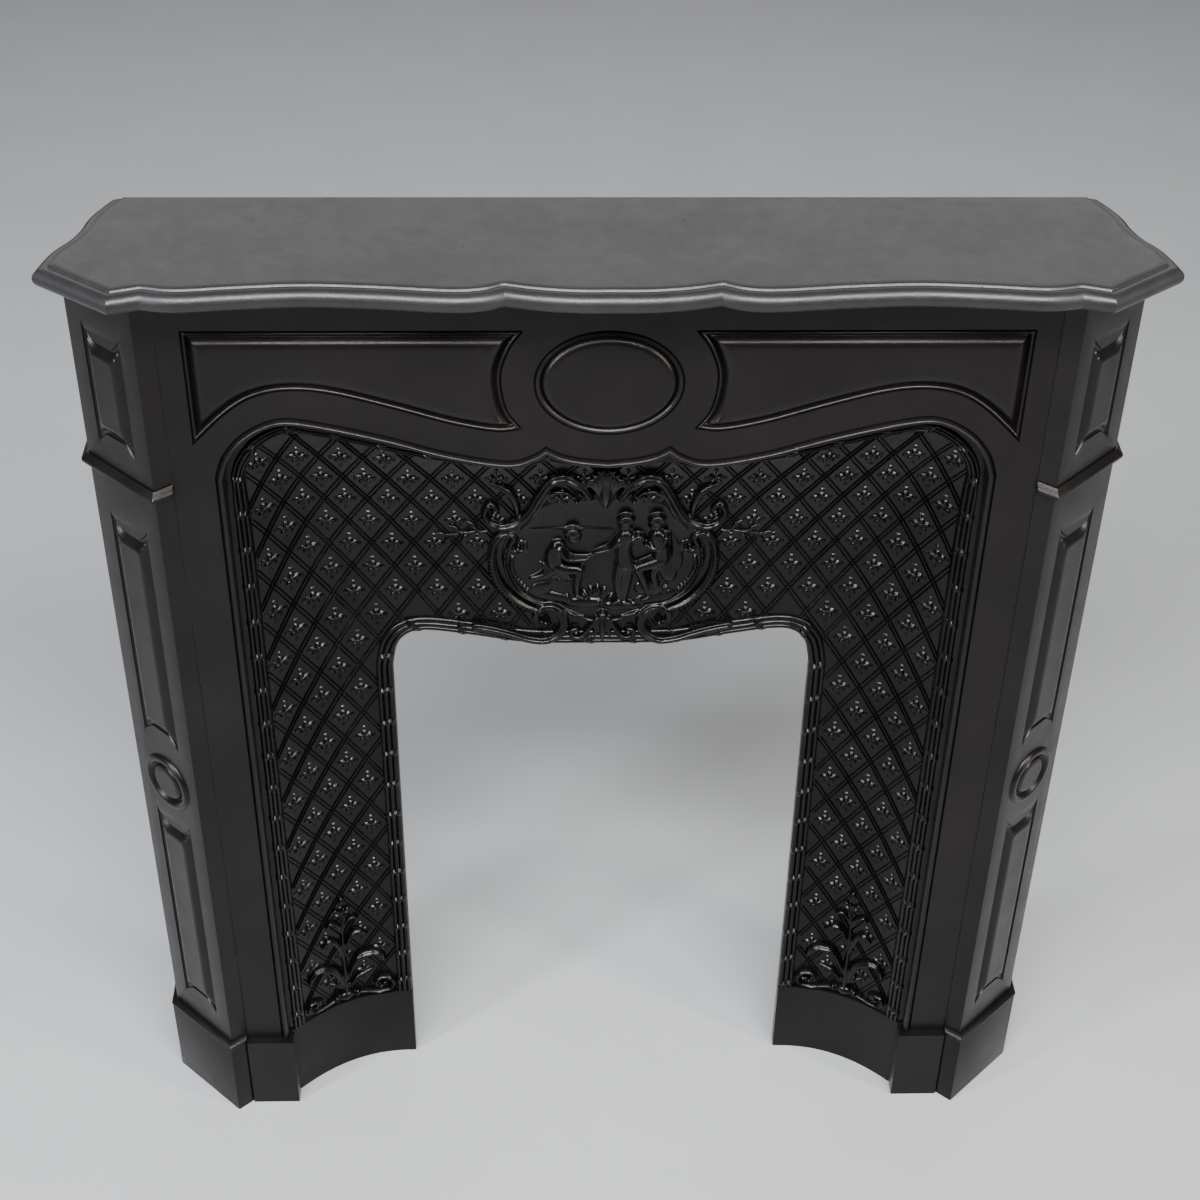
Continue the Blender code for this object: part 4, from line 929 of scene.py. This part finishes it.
def makeFlowers():
    # One five-petalled flower with four sprigs in every diamond: height over a polar grid
    s = insertLook
    wide, tall = s["latticeWide"], s["latticeTall"]
    row, column = np.meshgrid(np.arange(*s["flowerRows"]), np.arange(*s["flowerColumns"]), indexing="ij")
    cx = ((column + 0.5 * (row % 2)) * wide + 0.5 * wide).ravel()
    cz = (s["latticeMiddle"] + 0.5 * row * tall).ravel()
    cx, cz = laidOn(cx, cz)
    keep = fieldMask(cx, cz, s["flowerClear"])
    cx, cz = cx[keep], cz[keep]
    spokes, rings = s["flowerGrid"]
    angle = np.linspace(0, 2 * math.pi, spokes + 1)[:-1]
    reach = np.linspace(0, 1, rings + 1)[1:]
    a, r = np.meshgrid(angle, reach, indexing="ij")
    dx = r * s["flowerHalf"][0] * np.cos(a)
    dz = r * s["flowerHalf"][1] * np.sin(a)

    def dome(tall, near):
        # Round-topped: the height falls as the root of one less the squared distance
        return tall * np.sqrt(np.clip(1 - near, 0, 1))

    rise = dome(s["centreRise"], (np.hypot(dx, dz) / s["centreRadius"]) ** 2)
    for k in range(s["petals"]):
        lean = math.radians(90 + 360 / s["petals"] * k)
        u, v = dx - s["petalReach"] * math.cos(lean), dz - s["petalReach"] * math.sin(lean)
        out = (u * math.cos(lean) + v * math.sin(lean)) / s["petalHalf"][0]
        aside = (v * math.cos(lean) - u * math.sin(lean)) / s["petalHalf"][1]
        rise = np.maximum(rise, dome(s["flowerRise"], out ** 2 + aside ** 2))
    for tipX, tipZ in s["sprigs"]:
        near = np.hypot((dx - tipX) / s["sprigHalf"][0], (dz - tipZ) / s["sprigHalf"][1])
        rise = np.maximum(rise, dome(s["sprigRise"], near ** 2))
    rimSunk, sunk = s["flowerSunk"]
    rise = np.where(r > 0.99, -rimSunk, rise - sunk)
    x = cx[:, None, None] + dx
    z = cz[:, None, None] + dz
    depth = cove(x, z) - rise
    count = spokes * rings
    petalPoints = np.stack([x, depth, z], -1).reshape(len(cx), count, 3)
    hub = np.stack([cx, cove(cx, cz) - s["hubRise"], cz], -1)[:, None, :]
    points = np.concatenate([petalPoints, hub], 1)
    i, j = np.meshgrid(np.arange(spokes), np.arange(rings - 1), indexing="ij")
    a, b = i * rings + j, (i + 1) % spokes * rings + j
    quads = np.stack([a, a + 1, b + 1, b], -1).reshape(-1, 4)
    i = np.arange(spokes)
    fan = np.stack([np.full(spokes, count), i * rings, (i + 1) % spokes * rings], 1)
    offset = np.arange(len(cx)) * (count + 1)
    allQuads = (quads[None] + offset[:, None, None]).reshape(-1, 4)
    allFans = list((fan[None] + offset[:, None, None]).reshape(-1, 3))
    finishRelief(buildMesh("lattice_flowers", points.reshape(-1, 3), allQuads, allFans, outward=False))


# Relief carving: strokes, mounds and figures added to a height field

def stroke(height, x, z, points, radii, rise, reeds=0, base=0.0):
    # A rounded ridge along a curve: height falls as the root of one less distance over radius, squared
    share = np.linspace(0, 1, len(points))
    widths = np.interp(share, np.linspace(0, 1, len(radii)), radii)
    path = curvePath(np.column_stack([np.array(points, float), widths]) / 1000, 8)
    reach = path[:, 2].max()
    box = (x > path[:, 0].min() - reach) & (x < path[:, 0].max() + reach) \
        & (z > path[:, 1].min() - reach) & (z < path[:, 1].max() + reach)
    if not box.any():
        return
    far, along, _ = nearestOnPath(x[box], z[box], path[:, :2])
    run = np.concatenate([[0], np.cumsum(np.linalg.norm(np.diff(path[:, :2], axis=0), axis=1))])
    radius = np.maximum(1e-5, np.interp(along, run, path[:, 2]))
    share = far / radius
    body = np.sqrt(np.clip(1 - share ** 2, 0, 1))
    if reeds:
        body = body * (0.72 + 0.28 * np.abs(np.cos(0.5 * math.pi * reeds * share)))
    tall = base + rise / 1000 * body * np.clip(radius / reach, 0.45, 1)
    height[box] = np.where(share < 1, np.maximum(height[box], tall), height[box])


def mound(height, x, z, spot, size, rise, base=0.0, turn=0.0):
    # Half an ellipsoid
    c, s = math.cos(turn), math.sin(turn)
    dx, dz = x - spot[0] / 1000, z - spot[1] / 1000
    u = (c * dx + s * dz) / (size[0] / 1000)
    v = (-s * dx + c * dz) / (size[1] / 1000)
    near = u * u + v * v
    tall = base + rise / 1000 * np.sqrt(np.clip(1 - near, 0, 1))
    height[:] = np.where(near < 1, np.maximum(height, tall), height)


def reliefGrid(look):
    # Places over the relief's field, and its height, sunk everywhere to start with
    x, z = np.meshgrid(np.arange(*look["across"], look["step"]), np.arange(*look["up"], look["step"]))
    return x, z, np.full(x.shape, -common["sunk"])


def soften(h):
    # Three-by-three blur of the heights, as worn sand moulds give
    wide = np.pad(h, 1, mode="edge")
    beside = wide[:-2, 1:-1] + wide[2:, 1:-1] + wide[1:-1, :-2] + wide[1:-1, 2:]
    corners = wide[:-2, :-2] + wide[:-2, 2:] + wide[2:, :-2] + wide[2:, 2:]
    return (4 * wide[1:-1, 1:-1] + 2 * beside + corners) / 16


def mirrored(points):
    return [(-p[0], p[1]) for p in points]


def reliefPiece(name, x, z, height):
    # Keeps the cells of a height field that stand out of the ground, edges sunk into it
    rows, columns = x.shape
    flat = height <= 0.0001
    depth = cove(x, z) - np.where(flat, -common["sunk"], height)
    quads = gridQuads(rows, columns)
    quads = quads[~flat.ravel()[quads].all(1)]
    points, quads = usedOnly(asPoints(x, depth, z), quads)
    finishRelief(buildMesh(name, points, quads, outward=False, sharp=75))


# Millimetres from the cartouche's middle, right half; the left is its mirror image
cartoucheLook = {
    "step": 0.0008,
    "across": (-0.1688, 0.1690),
    "up": (-0.1070, 0.1350),
    "sightSlope": 0.80,
    "drawingDepth": 0.066,
    "fieldMiddle": 0.004,
    "fieldHalf": (0.101, 0.074),
    "fieldRise": 0.0007,
    "topScroll": ((14.7, 73.8), (21.6, 84.7), (30.3, 91.2), (40.7, 95.6), (52.8, 91.2), (61.5, 78.2),
                  (73.6, 56.4), (87.5, 44.4), (101.3, 41.1), (112.6, 47.6), (116.0, 58.5), (109.9, 66.2),
                  (103.9, 60.7), (107.4, 56.4)),
    "topInner": ((28.5, 71.2), (34.0, 77.5), (42.0, 80.2), (52.5, 79.0), (59.7, 69.4), (68.4, 52.0),
                 (80.0, 38.0)),
    "horn": ((84.0, 52.4), (85.7, 67.0), (90.6, 78.5), (99.3, 84.9), (108.5, 89.3)),
    "sideScroll": ((84.5, 18.0), (82.0, 23.5), (77.0, 21.0), (78.5, 13.5), (86.0, 10.5), (92.5, 17.0),
                   (88.0, 28.5), (97.0, 33.5), (106.5, 24.0), (110.0, 6.2), (108.2, -13.4), (101.3, -30.8),
                   (89.2, -46.1), (75.3, -57.0), (64.9, -61.4)),
    "sideInner": ((96.1, 14.9), (97.8, -2.5), (94.4, -19.9), (85.7, -37.4), (70.1, -50.5), (51.1, -57.0),
                  (37.2, -61.4), (19.9, -72.3), (9.5, -74.4)),
    "lowScroll": ((128.0, -80.0), (110.0, -84.0), (92.6, -89.7), (75.3, -96.2), (58.0, -98.4), (45.9, -91.9),
                  (38.9, -78.8), (42.4, -63.5), (52.8, -56.8), (64.0, -61.4), (67.5, -72.0), (61.0, -78.5),
                  (55.0, -74.4)),
    "crest": ((0.0, 66.0), (1.5, 78.0), (2.0, 90.0), (5.0, 101.0), (11.0, 106.5)),
    "husk": ((0.0, -62.0), (0.0, -80.0), (0.0, -98.0)),
    "smallScroll": ((6.0, -72.0), (12.0, -82.0), (20.0, -93.5), (29.5, -94.5), (31.5, -87.0), (26.5, -84.5),
                    (24.5, -89.0)),
    "ridges": (  # places, radii, rise, reeds
        ("topInner", (1.2, 1.9, 1.9, 1.4), 4.5, 0),
        ("sideInner", (1.4, 2.0, 2.0, 1.6), 4.6, 0),
        ("topScroll", (4.4, 5.6, 5.4, 4.8, 4.4, 3.6, 2.6), 10.0, 2),
        ("horn", (2.2, 4.0, 4.4, 3.2, 2.0), 7.0, 0),
        ("sideScroll", (1.8, 2.4, 3.2, 4.6, 5.2, 4.8, 3.4), 8.5, 2),
        ("lowScroll", (5.4, 5.6, 5.6, 5.2, 4.2, 3.0), 10.0, 3),
        ("smallScroll", (2.6, 3.6, 3.4, 2.4), 8.0, 0),
        ("crest", (3.0, 4.0, 3.4, 2.6, 1.6), 11.0, 0),
        ("husk", (2.4, 4.6, 2.6), 10.0, 0),
    ),
    "beadRow": ((90, 4), (91, -8), (86, -22), (76, -36)),
    "eyes": ((107.0, 57.5, 3.4), (84.5, 17.5, 3.2), (57.5, -74.8, 3.6), (26.5, -88.0, 2.6),
             (27.5, 71.5, 3.0)),   # the round eyes of the scrolls: place and radius
    "crestLeans": (0.0, 0.45, 0.9, 1.3),
    "lowLeaves": (
        (((3.0, -70.0), (6.5, -84.0), (8.0, -97.0)), (2.6, 3.4, 2.0), 7.0),
        (((20.0, -70.0), (34.0, -66.0), (44.0, -62.0)), (2.0, 3.4, 2.6), 6.0),
    ),
    "spray": (  # a stem and its leaves: foot, tip and half width
        ((112, 36), (160, 30), 1.5), ((122, 35), (134, 47), 3.0), ((130, 33), (141, 22), 3.0),
        ((138, 33), (152, 42), 3.0), ((146, 31), (158, 21), 2.6), ((152, 30), (166, 33), 2.6)),
    "knop": ((0, -66), (5.5, 5.0), 9.5),
}


def carveFrame(h, x, z):
    c = cartoucheLook
    field = (x / c["fieldHalf"][0]) ** 2 + ((z - c["fieldMiddle"]) / c["fieldHalf"][1]) ** 2
    h[:] = np.where(field < 1, np.maximum(h, c["fieldRise"]), h)
    for flip in (list, mirrored):
        for word, radii, rise, reeds in c["ridges"]:
            stroke(h, x, z, flip(c[word]), radii, rise, reeds=reeds)
        # Gadroons along the side scroll's back, and a row of beads inside it
        outer = curvePath(np.array(flip(c["sideScroll"])[9:]), 5)
        for px, pz in evenPath(outer, 4.6):
            away = 1.0 if px > 0 else -1.0
            mound(h, x, z, (px + away * 2.6, pz - 1.0), (1.6, 3.6), 8.2, turn=away * 0.9)
        for spot in evenPath(curvePath(np.array(flip(c["beadRow"])), 6), 5.0):
            mound(h, x, z, spot, (2.6, 3.4), 5.0)
        for px, pz, size in c["eyes"]:
            mound(h, x, z, flip([(px, pz)])[0], (size, size), 9.5)
        # The crest's leaves fan out from its foot
        for k, lean in enumerate(c["crestLeans"]):
            tip = (2 + 24 * math.sin(lean), 74 + (30 - 4 * k) * math.cos(0.7 * lean))
            mid = (2 + 11 * math.sin(lean), 74 + 20 * math.cos(0.6 * lean))
            stroke(h, x, z, flip([(2.0, 66.0), mid, tip]), (2.4, 3.6, 1.6), 9.0 - k)
        # Lower leaves between the small scrolls and the husk
        for places, radii, rise in c["lowLeaves"]:
            stroke(h, x, z, flip(places), radii, rise)
        # Flower sprays reach out into the lattice
        for foot, tip, wide in c["spray"]:
            mid = (0.5 * (foot[0] + tip[0]), 0.5 * (foot[1] + tip[1]) + 1.5)
            stroke(h, x, z, flip([foot, mid, tip]), (0.8, wide, 0.7), 3.4)
    mound(h, x, z, *c["knop"])


def carveChild(h, x, z, pose):
    # A plain rounded child: limbs are tapered ridges, head and curls are mounds
    base = cartoucheLook["fieldRise"]
    for limb, radii, rise in pose["limbs"]:
        stroke(h, x, z, limb, [1.12 * r for r in radii], 1.1 * rise, base=base)
    for spot, size, rise, turn in pose["masses"]:
        mound(h, x, z, spot, size, rise, base=base, turn=turn)
    hx, hz = pose["head"]
    mound(h, x, z, (hx, hz), (7.6, 8.6), 9.0, base=base)
    look = pose["look"]
    mound(h, x, z, (hx + 3.2 * look, hz - 1.5), (5.0, 5.6), 9.4, base=base)
    for k in range(9):
        a = math.radians(18 + 18 * k)
        curl = (hx + 6.6 * math.cos(a) - 0.8 * look, hz + 2.4 + 6.2 * math.sin(a))
        mound(h, x, z, curl, (2.6, 2.6), 8.6, base=base)
    mound(h, x, z, (hx - 0.8 * look, hz + 4.0), (7.6, 5.6), 9.8, base=base)


# Millimetres from the cartouche's middle: where each child looks, its limbs and its rounder masses
children = (
    {"head": (-30.3, 31.0), "look": 1,
     "limbs": ((((-45, 18), (-49, 6), (-47, -6)), (7.5, 8.6, 8.0), 8.0),
               (((-44, 18), (-38, 8), (-30, 4), (-17, 4)), (3.6, 3.4, 2.8, 2.2), 10.0),
               (((-46, -5), (-36, -8), (-24, -9)), (6.4, 5.8, 5.0), 9.5),
               (((-24, -9), (-26, -24), (-26, -40)), (5.0, 4.4, 2.8), 8.5),
               (((-26, -41), (-20, -44)), (2.8, 2.4), 7.0),
               (((-50, -10), (-60, -17), (-71, -21)), (5.6, 4.4, 2.6), 7.0)),
     "masses": (((-47, 19), (5.5, 5.5), 8.5, 0.0), ((-49, -2), (9, 8), 7.5, 0.3))},
    {"head": (20.0, 45.5), "look": -0.6,
     "limbs": ((((21, 30), (19, 14), (21, -2)), (7.4, 7.2, 8.0), 8.6),
               (((14, 27), (6, 17), (-9, 11)), (3.4, 3.0, 2.0), 8.6),
               (((28, 28), (33, 31), (38, 29)), (3.2, 3.0, 2.6), 8.4),
               (((17, -4), (14.5, -24), (16.5, -47)), (6.0, 4.8, 2.8), 8.4),
               (((25, -4), (23, -26), (21, -49)), (6.0, 4.8, 2.8), 8.0),
               (((16, -48), (10, -51)), (2.6, 2.0), 6.6), (((21, -50), (27, -52)), (2.6, 2.0), 6.6)),
     "masses": (((21, 24), (7.5, 6.5), 8.8, 0.0), ((21, 2), (8.4, 8.0), 8.8, 0.0))},
    {"head": (50.2, 45.5), "look": -0.8,
     "limbs": ((((52, 30), (56, 16), (57, 4)), (7.4, 7.6, 8.0), 8.8),
               (((60, 31), (56, 21), (49, 17), (41, 21)), (3.6, 3.4, 2.8, 2.2), 10.4),
               (((57, 3), (46, -2), (34, -7)), (6.4, 5.8, 5.0), 10.0),
               (((34, -7), (40, -22), (46, -42)), (5.0, 4.4, 2.8), 8.8),
               (((56, -2), (50, -14), (54, -34)), (5.4, 4.6, 3.0), 7.4),
               (((46, -43), (39, -47)), (2.8, 2.2), 7.0)),
     "masses": (((53, 25), (7.5, 6.5), 9.0, 0.0), ((58, 3), (8.6, 7.6), 8.6, 0.0))},
)


def carvePicture(h, x, z):
    # Horizon, rocky ground, drapery and small plants behind the children
    base = cartoucheLook["fieldRise"]
    stroke(h, x, z, ((-72, 38), (-40, 39.5), (-8, 38), (8, 38)), (1.0, 1.5, 1.3, 0.8), 2.2, base=base)
    for spot, size, rise, turn in (((-52, -44), (24, 6), 3.6, -0.25), ((-18, -52), (22, 6), 4.0, 0.0),
                                   ((20, -56), (26, 5), 4.4, 0.0), ((52, -46), (22, 8), 4.0, 0.25),
                                   ((46, -34), (15, 10), 4.6, 0.0), ((64, -12), (9, 15), 4.8, 0.2),
                                   ((-62, -34), (12, 8), 3.4, 0.4)):
        mound(h, x, z, spot, size, rise, base=base, turn=turn)
    for k in range(7):
        stroke(h, x, z, ((66 + 1.5 * k, 34 - 3 * k), (68 + 1.4 * k, 10 - 2 * k), (64 + 1.2 * k, -22 + k)),
               (1.0, 1.7, 1.0), 3.4 + 0.4 * (k % 2), base=base)
    for k in range(6):
        stroke(h, x, z, ((-62 + 4 * k, -2 - k), (-56 + 4 * k, -14), (-52 + 5 * k, -24 - 0.6 * k)),
               (1.6, 2.4, 1.4), 5.4 + 0.6 * (k % 2), base=base)
    for px, pz, lean in ((-10, -40, -0.5), (-6, -38, 0.1), (-2, -42, 0.6), (4, -50, 0.8), (-14, -46, -0.8),
                         (-4, -56, 0.0), (60, -40, 0.5), (-34, -50, -0.3)):
        stroke(h, x, z, ((px, pz), (px + 4 * math.sin(lean), pz + 6), (px + 9 * math.sin(lean), pz + 10)),
               (1.2, 2.0, 0.7), 5.0, base=base)
    stroke(h, x, z, ((-18, 4), (-8, 9), (-4, 10)), (1.6, 1.2, 1.8), 5.0, base=base)
    for pose in children:
        carveChild(h, x, z, pose)


def makeCartouche():
    c = cartoucheLook
    mx, mz = insertLook["cartoucheMiddle"]
    x, z, h = reliefGrid(c)
    # The drawing lies on one upright plane; each place of the hollow ground takes the part of it
    # that is seen through it from above the front
    drawn = z - c["sightSlope"] * (c["drawingDepth"] - cove(x + mx, z + mz))
    carveFrame(h, x, drawn)
    carvePicture(h, x, drawn)
    h = soften(h)
    reliefPiece("cartouche", x + mx, z + mz, h)


# Millimetres: across from the leg's middle towards the fire, and up from the floor
sprayLook = {
    "step": 0.0008,
    "across": (-0.0570, 0.0500),
    "up": (0.1035, 0.2780),
    "middle": 0.2800,
    "stemRadii": (3.2, 2.6, 2.2, 1.8, 1.2),
    "stemRise": 6.5,
    "stem": ((-9, 110), (-9, 150), (-9, 190), (-8, 230), (-7, 262)),
    "arcs": (  # places, radii, rise
        (((-11, 132), (-20, 160), (-32, 173), (-42, 169), (-46, 158)), (3.0, 4.6, 5.0, 4.2, 2.8), 9.5),
        (((-6, 142), (6, 170), (20, 176), (31, 171), (35, 160)), (2.8, 4.4, 5.0, 4.2, 2.8), 9.5),
        (((-10, 176), (-16, 203), (-23, 213), (-30, 205)), (2.2, 3.4, 3.8, 2.4), 8.0),
        (((-8, 186), (0, 209), (9, 215), (17, 207)), (2.2, 3.4, 3.8, 2.4), 8.0),
        (((-9, 216), (-14, 233), (-20, 239), (-25, 233)), (1.6, 2.6, 2.8, 1.6), 6.5),
        (((-8, 220), (-3, 234), (4, 239), (8, 233)), (1.6, 2.6, 2.8, 1.6), 6.5),
        (((-10, 124), (-20, 138), (-28, 143)), (2.0, 3.4, 1.6), 6.5),
        (((-6, 126), (6, 141), (20, 146)), (2.0, 3.4, 1.6), 6.5),
        (((-8, 246), (-13, 254), (-17, 255)), (1.2, 2.2, 1.0), 5.0),
        (((-7, 246), (-2, 254), (2, 255)), (1.2, 2.2, 1.0), 5.0),
    ),
    "scrolls": (
        (((4, 114), (14, 112), (26, 109), (38, 111), (44, 119), (41, 129), (32, 132), (25, 127), (25, 120),
          (31, 117), (35, 121)), (2.8, 3.2, 3.6, 3.6, 3.4, 3.0, 2.4), 8.5),
        (((-20, 114), (-28, 111), (-38, 110), (-46, 112), (-50, 119), (-47, 126), (-41, 126), (-38, 121),
          (-41, 118)), (2.4, 3.0, 3.2, 3.0, 2.4), 8.0),
    ),
    "knobs": (  # place, half sizes, rise
        ((-9, 116), (9.5, 7.0), 9.5), ((3, 115), (3.2, 6.0), 8.5), ((-20, 115), (2.8, 5.0), 8.0),
        ((31, 121), (2.8, 2.8), 9.5), ((-42, 119), (2.4, 2.4), 8.5), ((-7, 268), (3.4, 7.0), 6.0),
    ),
}


def makeSpray(side, name):
    # A knop between two volutes, and curling acanthus arms up a stem
    s = sprayLook
    x, z, h = reliefGrid(s)
    stroke(h, x, z, s["stem"], s["stemRadii"], s["stemRise"])
    for places, radii, rise in s["arcs"] + s["scrolls"]:
        stroke(h, x, z, places, radii, rise, reeds=2)
    for place, size, rise in s["knobs"]:
        mound(h, x, z, place, size, rise)
    h = soften(h)
    reliefPiece(name, side * (s["middle"] - x), z, h)


print("making the castings")
makeShelf()
makePlate()
makePilaster(-1, "pilaster_cheek_left", "pilaster_left")
makePilaster(1, "pilaster_cheek_right", "pilaster_right")
openingLine = openingPath(common["plinthTall"])
fireLine = firePath(common["plinthTall"])
makeGround()
makeCovedPlinth(-1, "coved_plinth_left")
makeCovedPlinth(1, "coved_plinth_right")
borderLine = offsetPath(openingLine, -(common["beadWidth"] + insertLook["outerSet"]))
makeBorder("reeded_border_outer", borderLine, -1, insertLook["outerWide"])
makeBorder("reeded_border_fire", fireLine, 1, insertLook["fireWide"])
makeLattice()
makeFlowers()
makeCartouche()
makeSpray(-1, "foot_spray_left")
makeSpray(1, "foot_spray_right")


# Floor, light and camera

def plainMaterial(name, hexColour, secondColour, rough):
    # Matt studio paper: no highlight, and a faint mottle so that it isn't dead flat
    material = bpy.data.materials.new(name)
    material.use_nodes = True
    tree = material.node_tree
    shader = tree.nodes["Principled BSDF"]
    place = node(tree, "ShaderNodeTexCoord").outputs["Object"]
    mottle = node(tree, "ShaderNodeTexNoise", (), (("Scale", 6.0), ("Detail", 2.0)), (("Vector", place),))
    ramp = node(tree, "ShaderNodeValToRGB", (), (), (("Fac", mottle.outputs["Fac"]),))
    ramp.color_ramp.elements[0].color = linear(hexColour)
    ramp.color_ramp.elements[1].color = linear(secondColour)
    tree.links.new(ramp.outputs["Color"], shader.inputs["Base Color"])
    shader.inputs["Roughness"].default_value = rough
    return material


def makeFloor():
    half = 12.0
    mesh = bpy.data.meshes.new("studio_floor")
    corners = [(-half, -half, 0), (half, -half, 0), (half, half, 0), (-half, half, 0)]
    mesh.from_pydata(corners, [], [(0, 1, 2, 3)])
    floor = bpy.data.objects.new("studio_floor", mesh)
    bpy.context.collection.objects.link(floor)
    mesh.materials.append(plainMaterial("studio paper", "#989a9c", "#9fa1a3", 0.9))


lightLook = {
    "world": "#eceef2", "worldStrength": 0.19,
    "areas": (  # place, aim, width, height, watts, colour
        ((0.0, -1.70, 3.0), (0.0, 0.0, 0.7), 3.0, 0.7, 300, "#ffffff"),
        ((0.0, 2.9, 2.6), (0.0, 0.0, 1.0), 4.6, 1.7, 46, "#ffffff"),
        ((-2.3, -1.5, 1.9), (0.0, 0.0, 0.6), 0.35, 2.0, 110, "#f8f9ff"),
        ((2.4, -1.3, 1.8), (0.0, 0.0, 0.6), 0.35, 2.0, 80, "#fffaf2"),
    ),
}


def makeLights():
    world = bpy.data.worlds.new("soft room")
    bpy.context.scene.world = world
    world.use_nodes = True
    sky = world.node_tree.nodes["Background"]
    sky.inputs["Color"].default_value = linear(lightLook["world"])
    sky.inputs["Strength"].default_value = lightLook["worldStrength"]
    for k, (spot, aim, width, height, watts, colour) in enumerate(lightLook["areas"]):
        lamp = bpy.data.lights.new("softbox %d" % k, "AREA")
        lamp.shape = "RECTANGLE"
        lamp.size, lamp.size_y = width, height
        lamp.energy = watts
        lamp.color = linear(colour)[:3]
        thing = bpy.data.objects.new("softbox %d" % k, lamp)
        thing.location = spot
        thing.rotation_euler = (Vector(aim) - Vector(spot)).to_track_quat("-Z", "Y").to_euler()
        bpy.context.collection.objects.link(thing)


cameraLook = {"place": (-0.0642, -1.6064, 1.9876), "focalPixels": 2111.4, "frame": 1200,
              "yaw": 0.0367, "pitch": 0.6620, "roll": 0.0169}


def makeCamera():
    # Looks along (sin yaw cos pitch, cos yaw cos pitch, -sin pitch), then rolls about that line
    c = cameraLook
    yaw, pitch, roll = c["yaw"], c["pitch"], c["roll"]
    level = math.cos(pitch)
    ahead = Vector((math.sin(yaw) * level, math.cos(yaw) * level, -math.sin(pitch)))
    right = Vector((math.cos(yaw), -math.sin(yaw), 0))
    up = right.cross(ahead)
    rolled = math.cos(roll) * right + math.sin(roll) * up
    rolledUp = -math.sin(roll) * right + math.cos(roll) * up
    data = bpy.data.cameras.new("photo camera")
    data.sensor_width = 36
    data.lens = 36 * c["focalPixels"] / c["frame"]
    camera = bpy.data.objects.new("photo camera", data)
    turn = Matrix((rolled, rolledUp, -ahead)).transposed().to_4x4()
    place = Vector(c["place"]) + Vector((0, plateDepth, 0))
    camera.matrix_world = Matrix.Translation(place) @ turn
    bpy.context.collection.objects.link(camera)
    bpy.context.scene.camera = camera


makeFloor()
makeLights()
makeCamera()
print("scene ready")
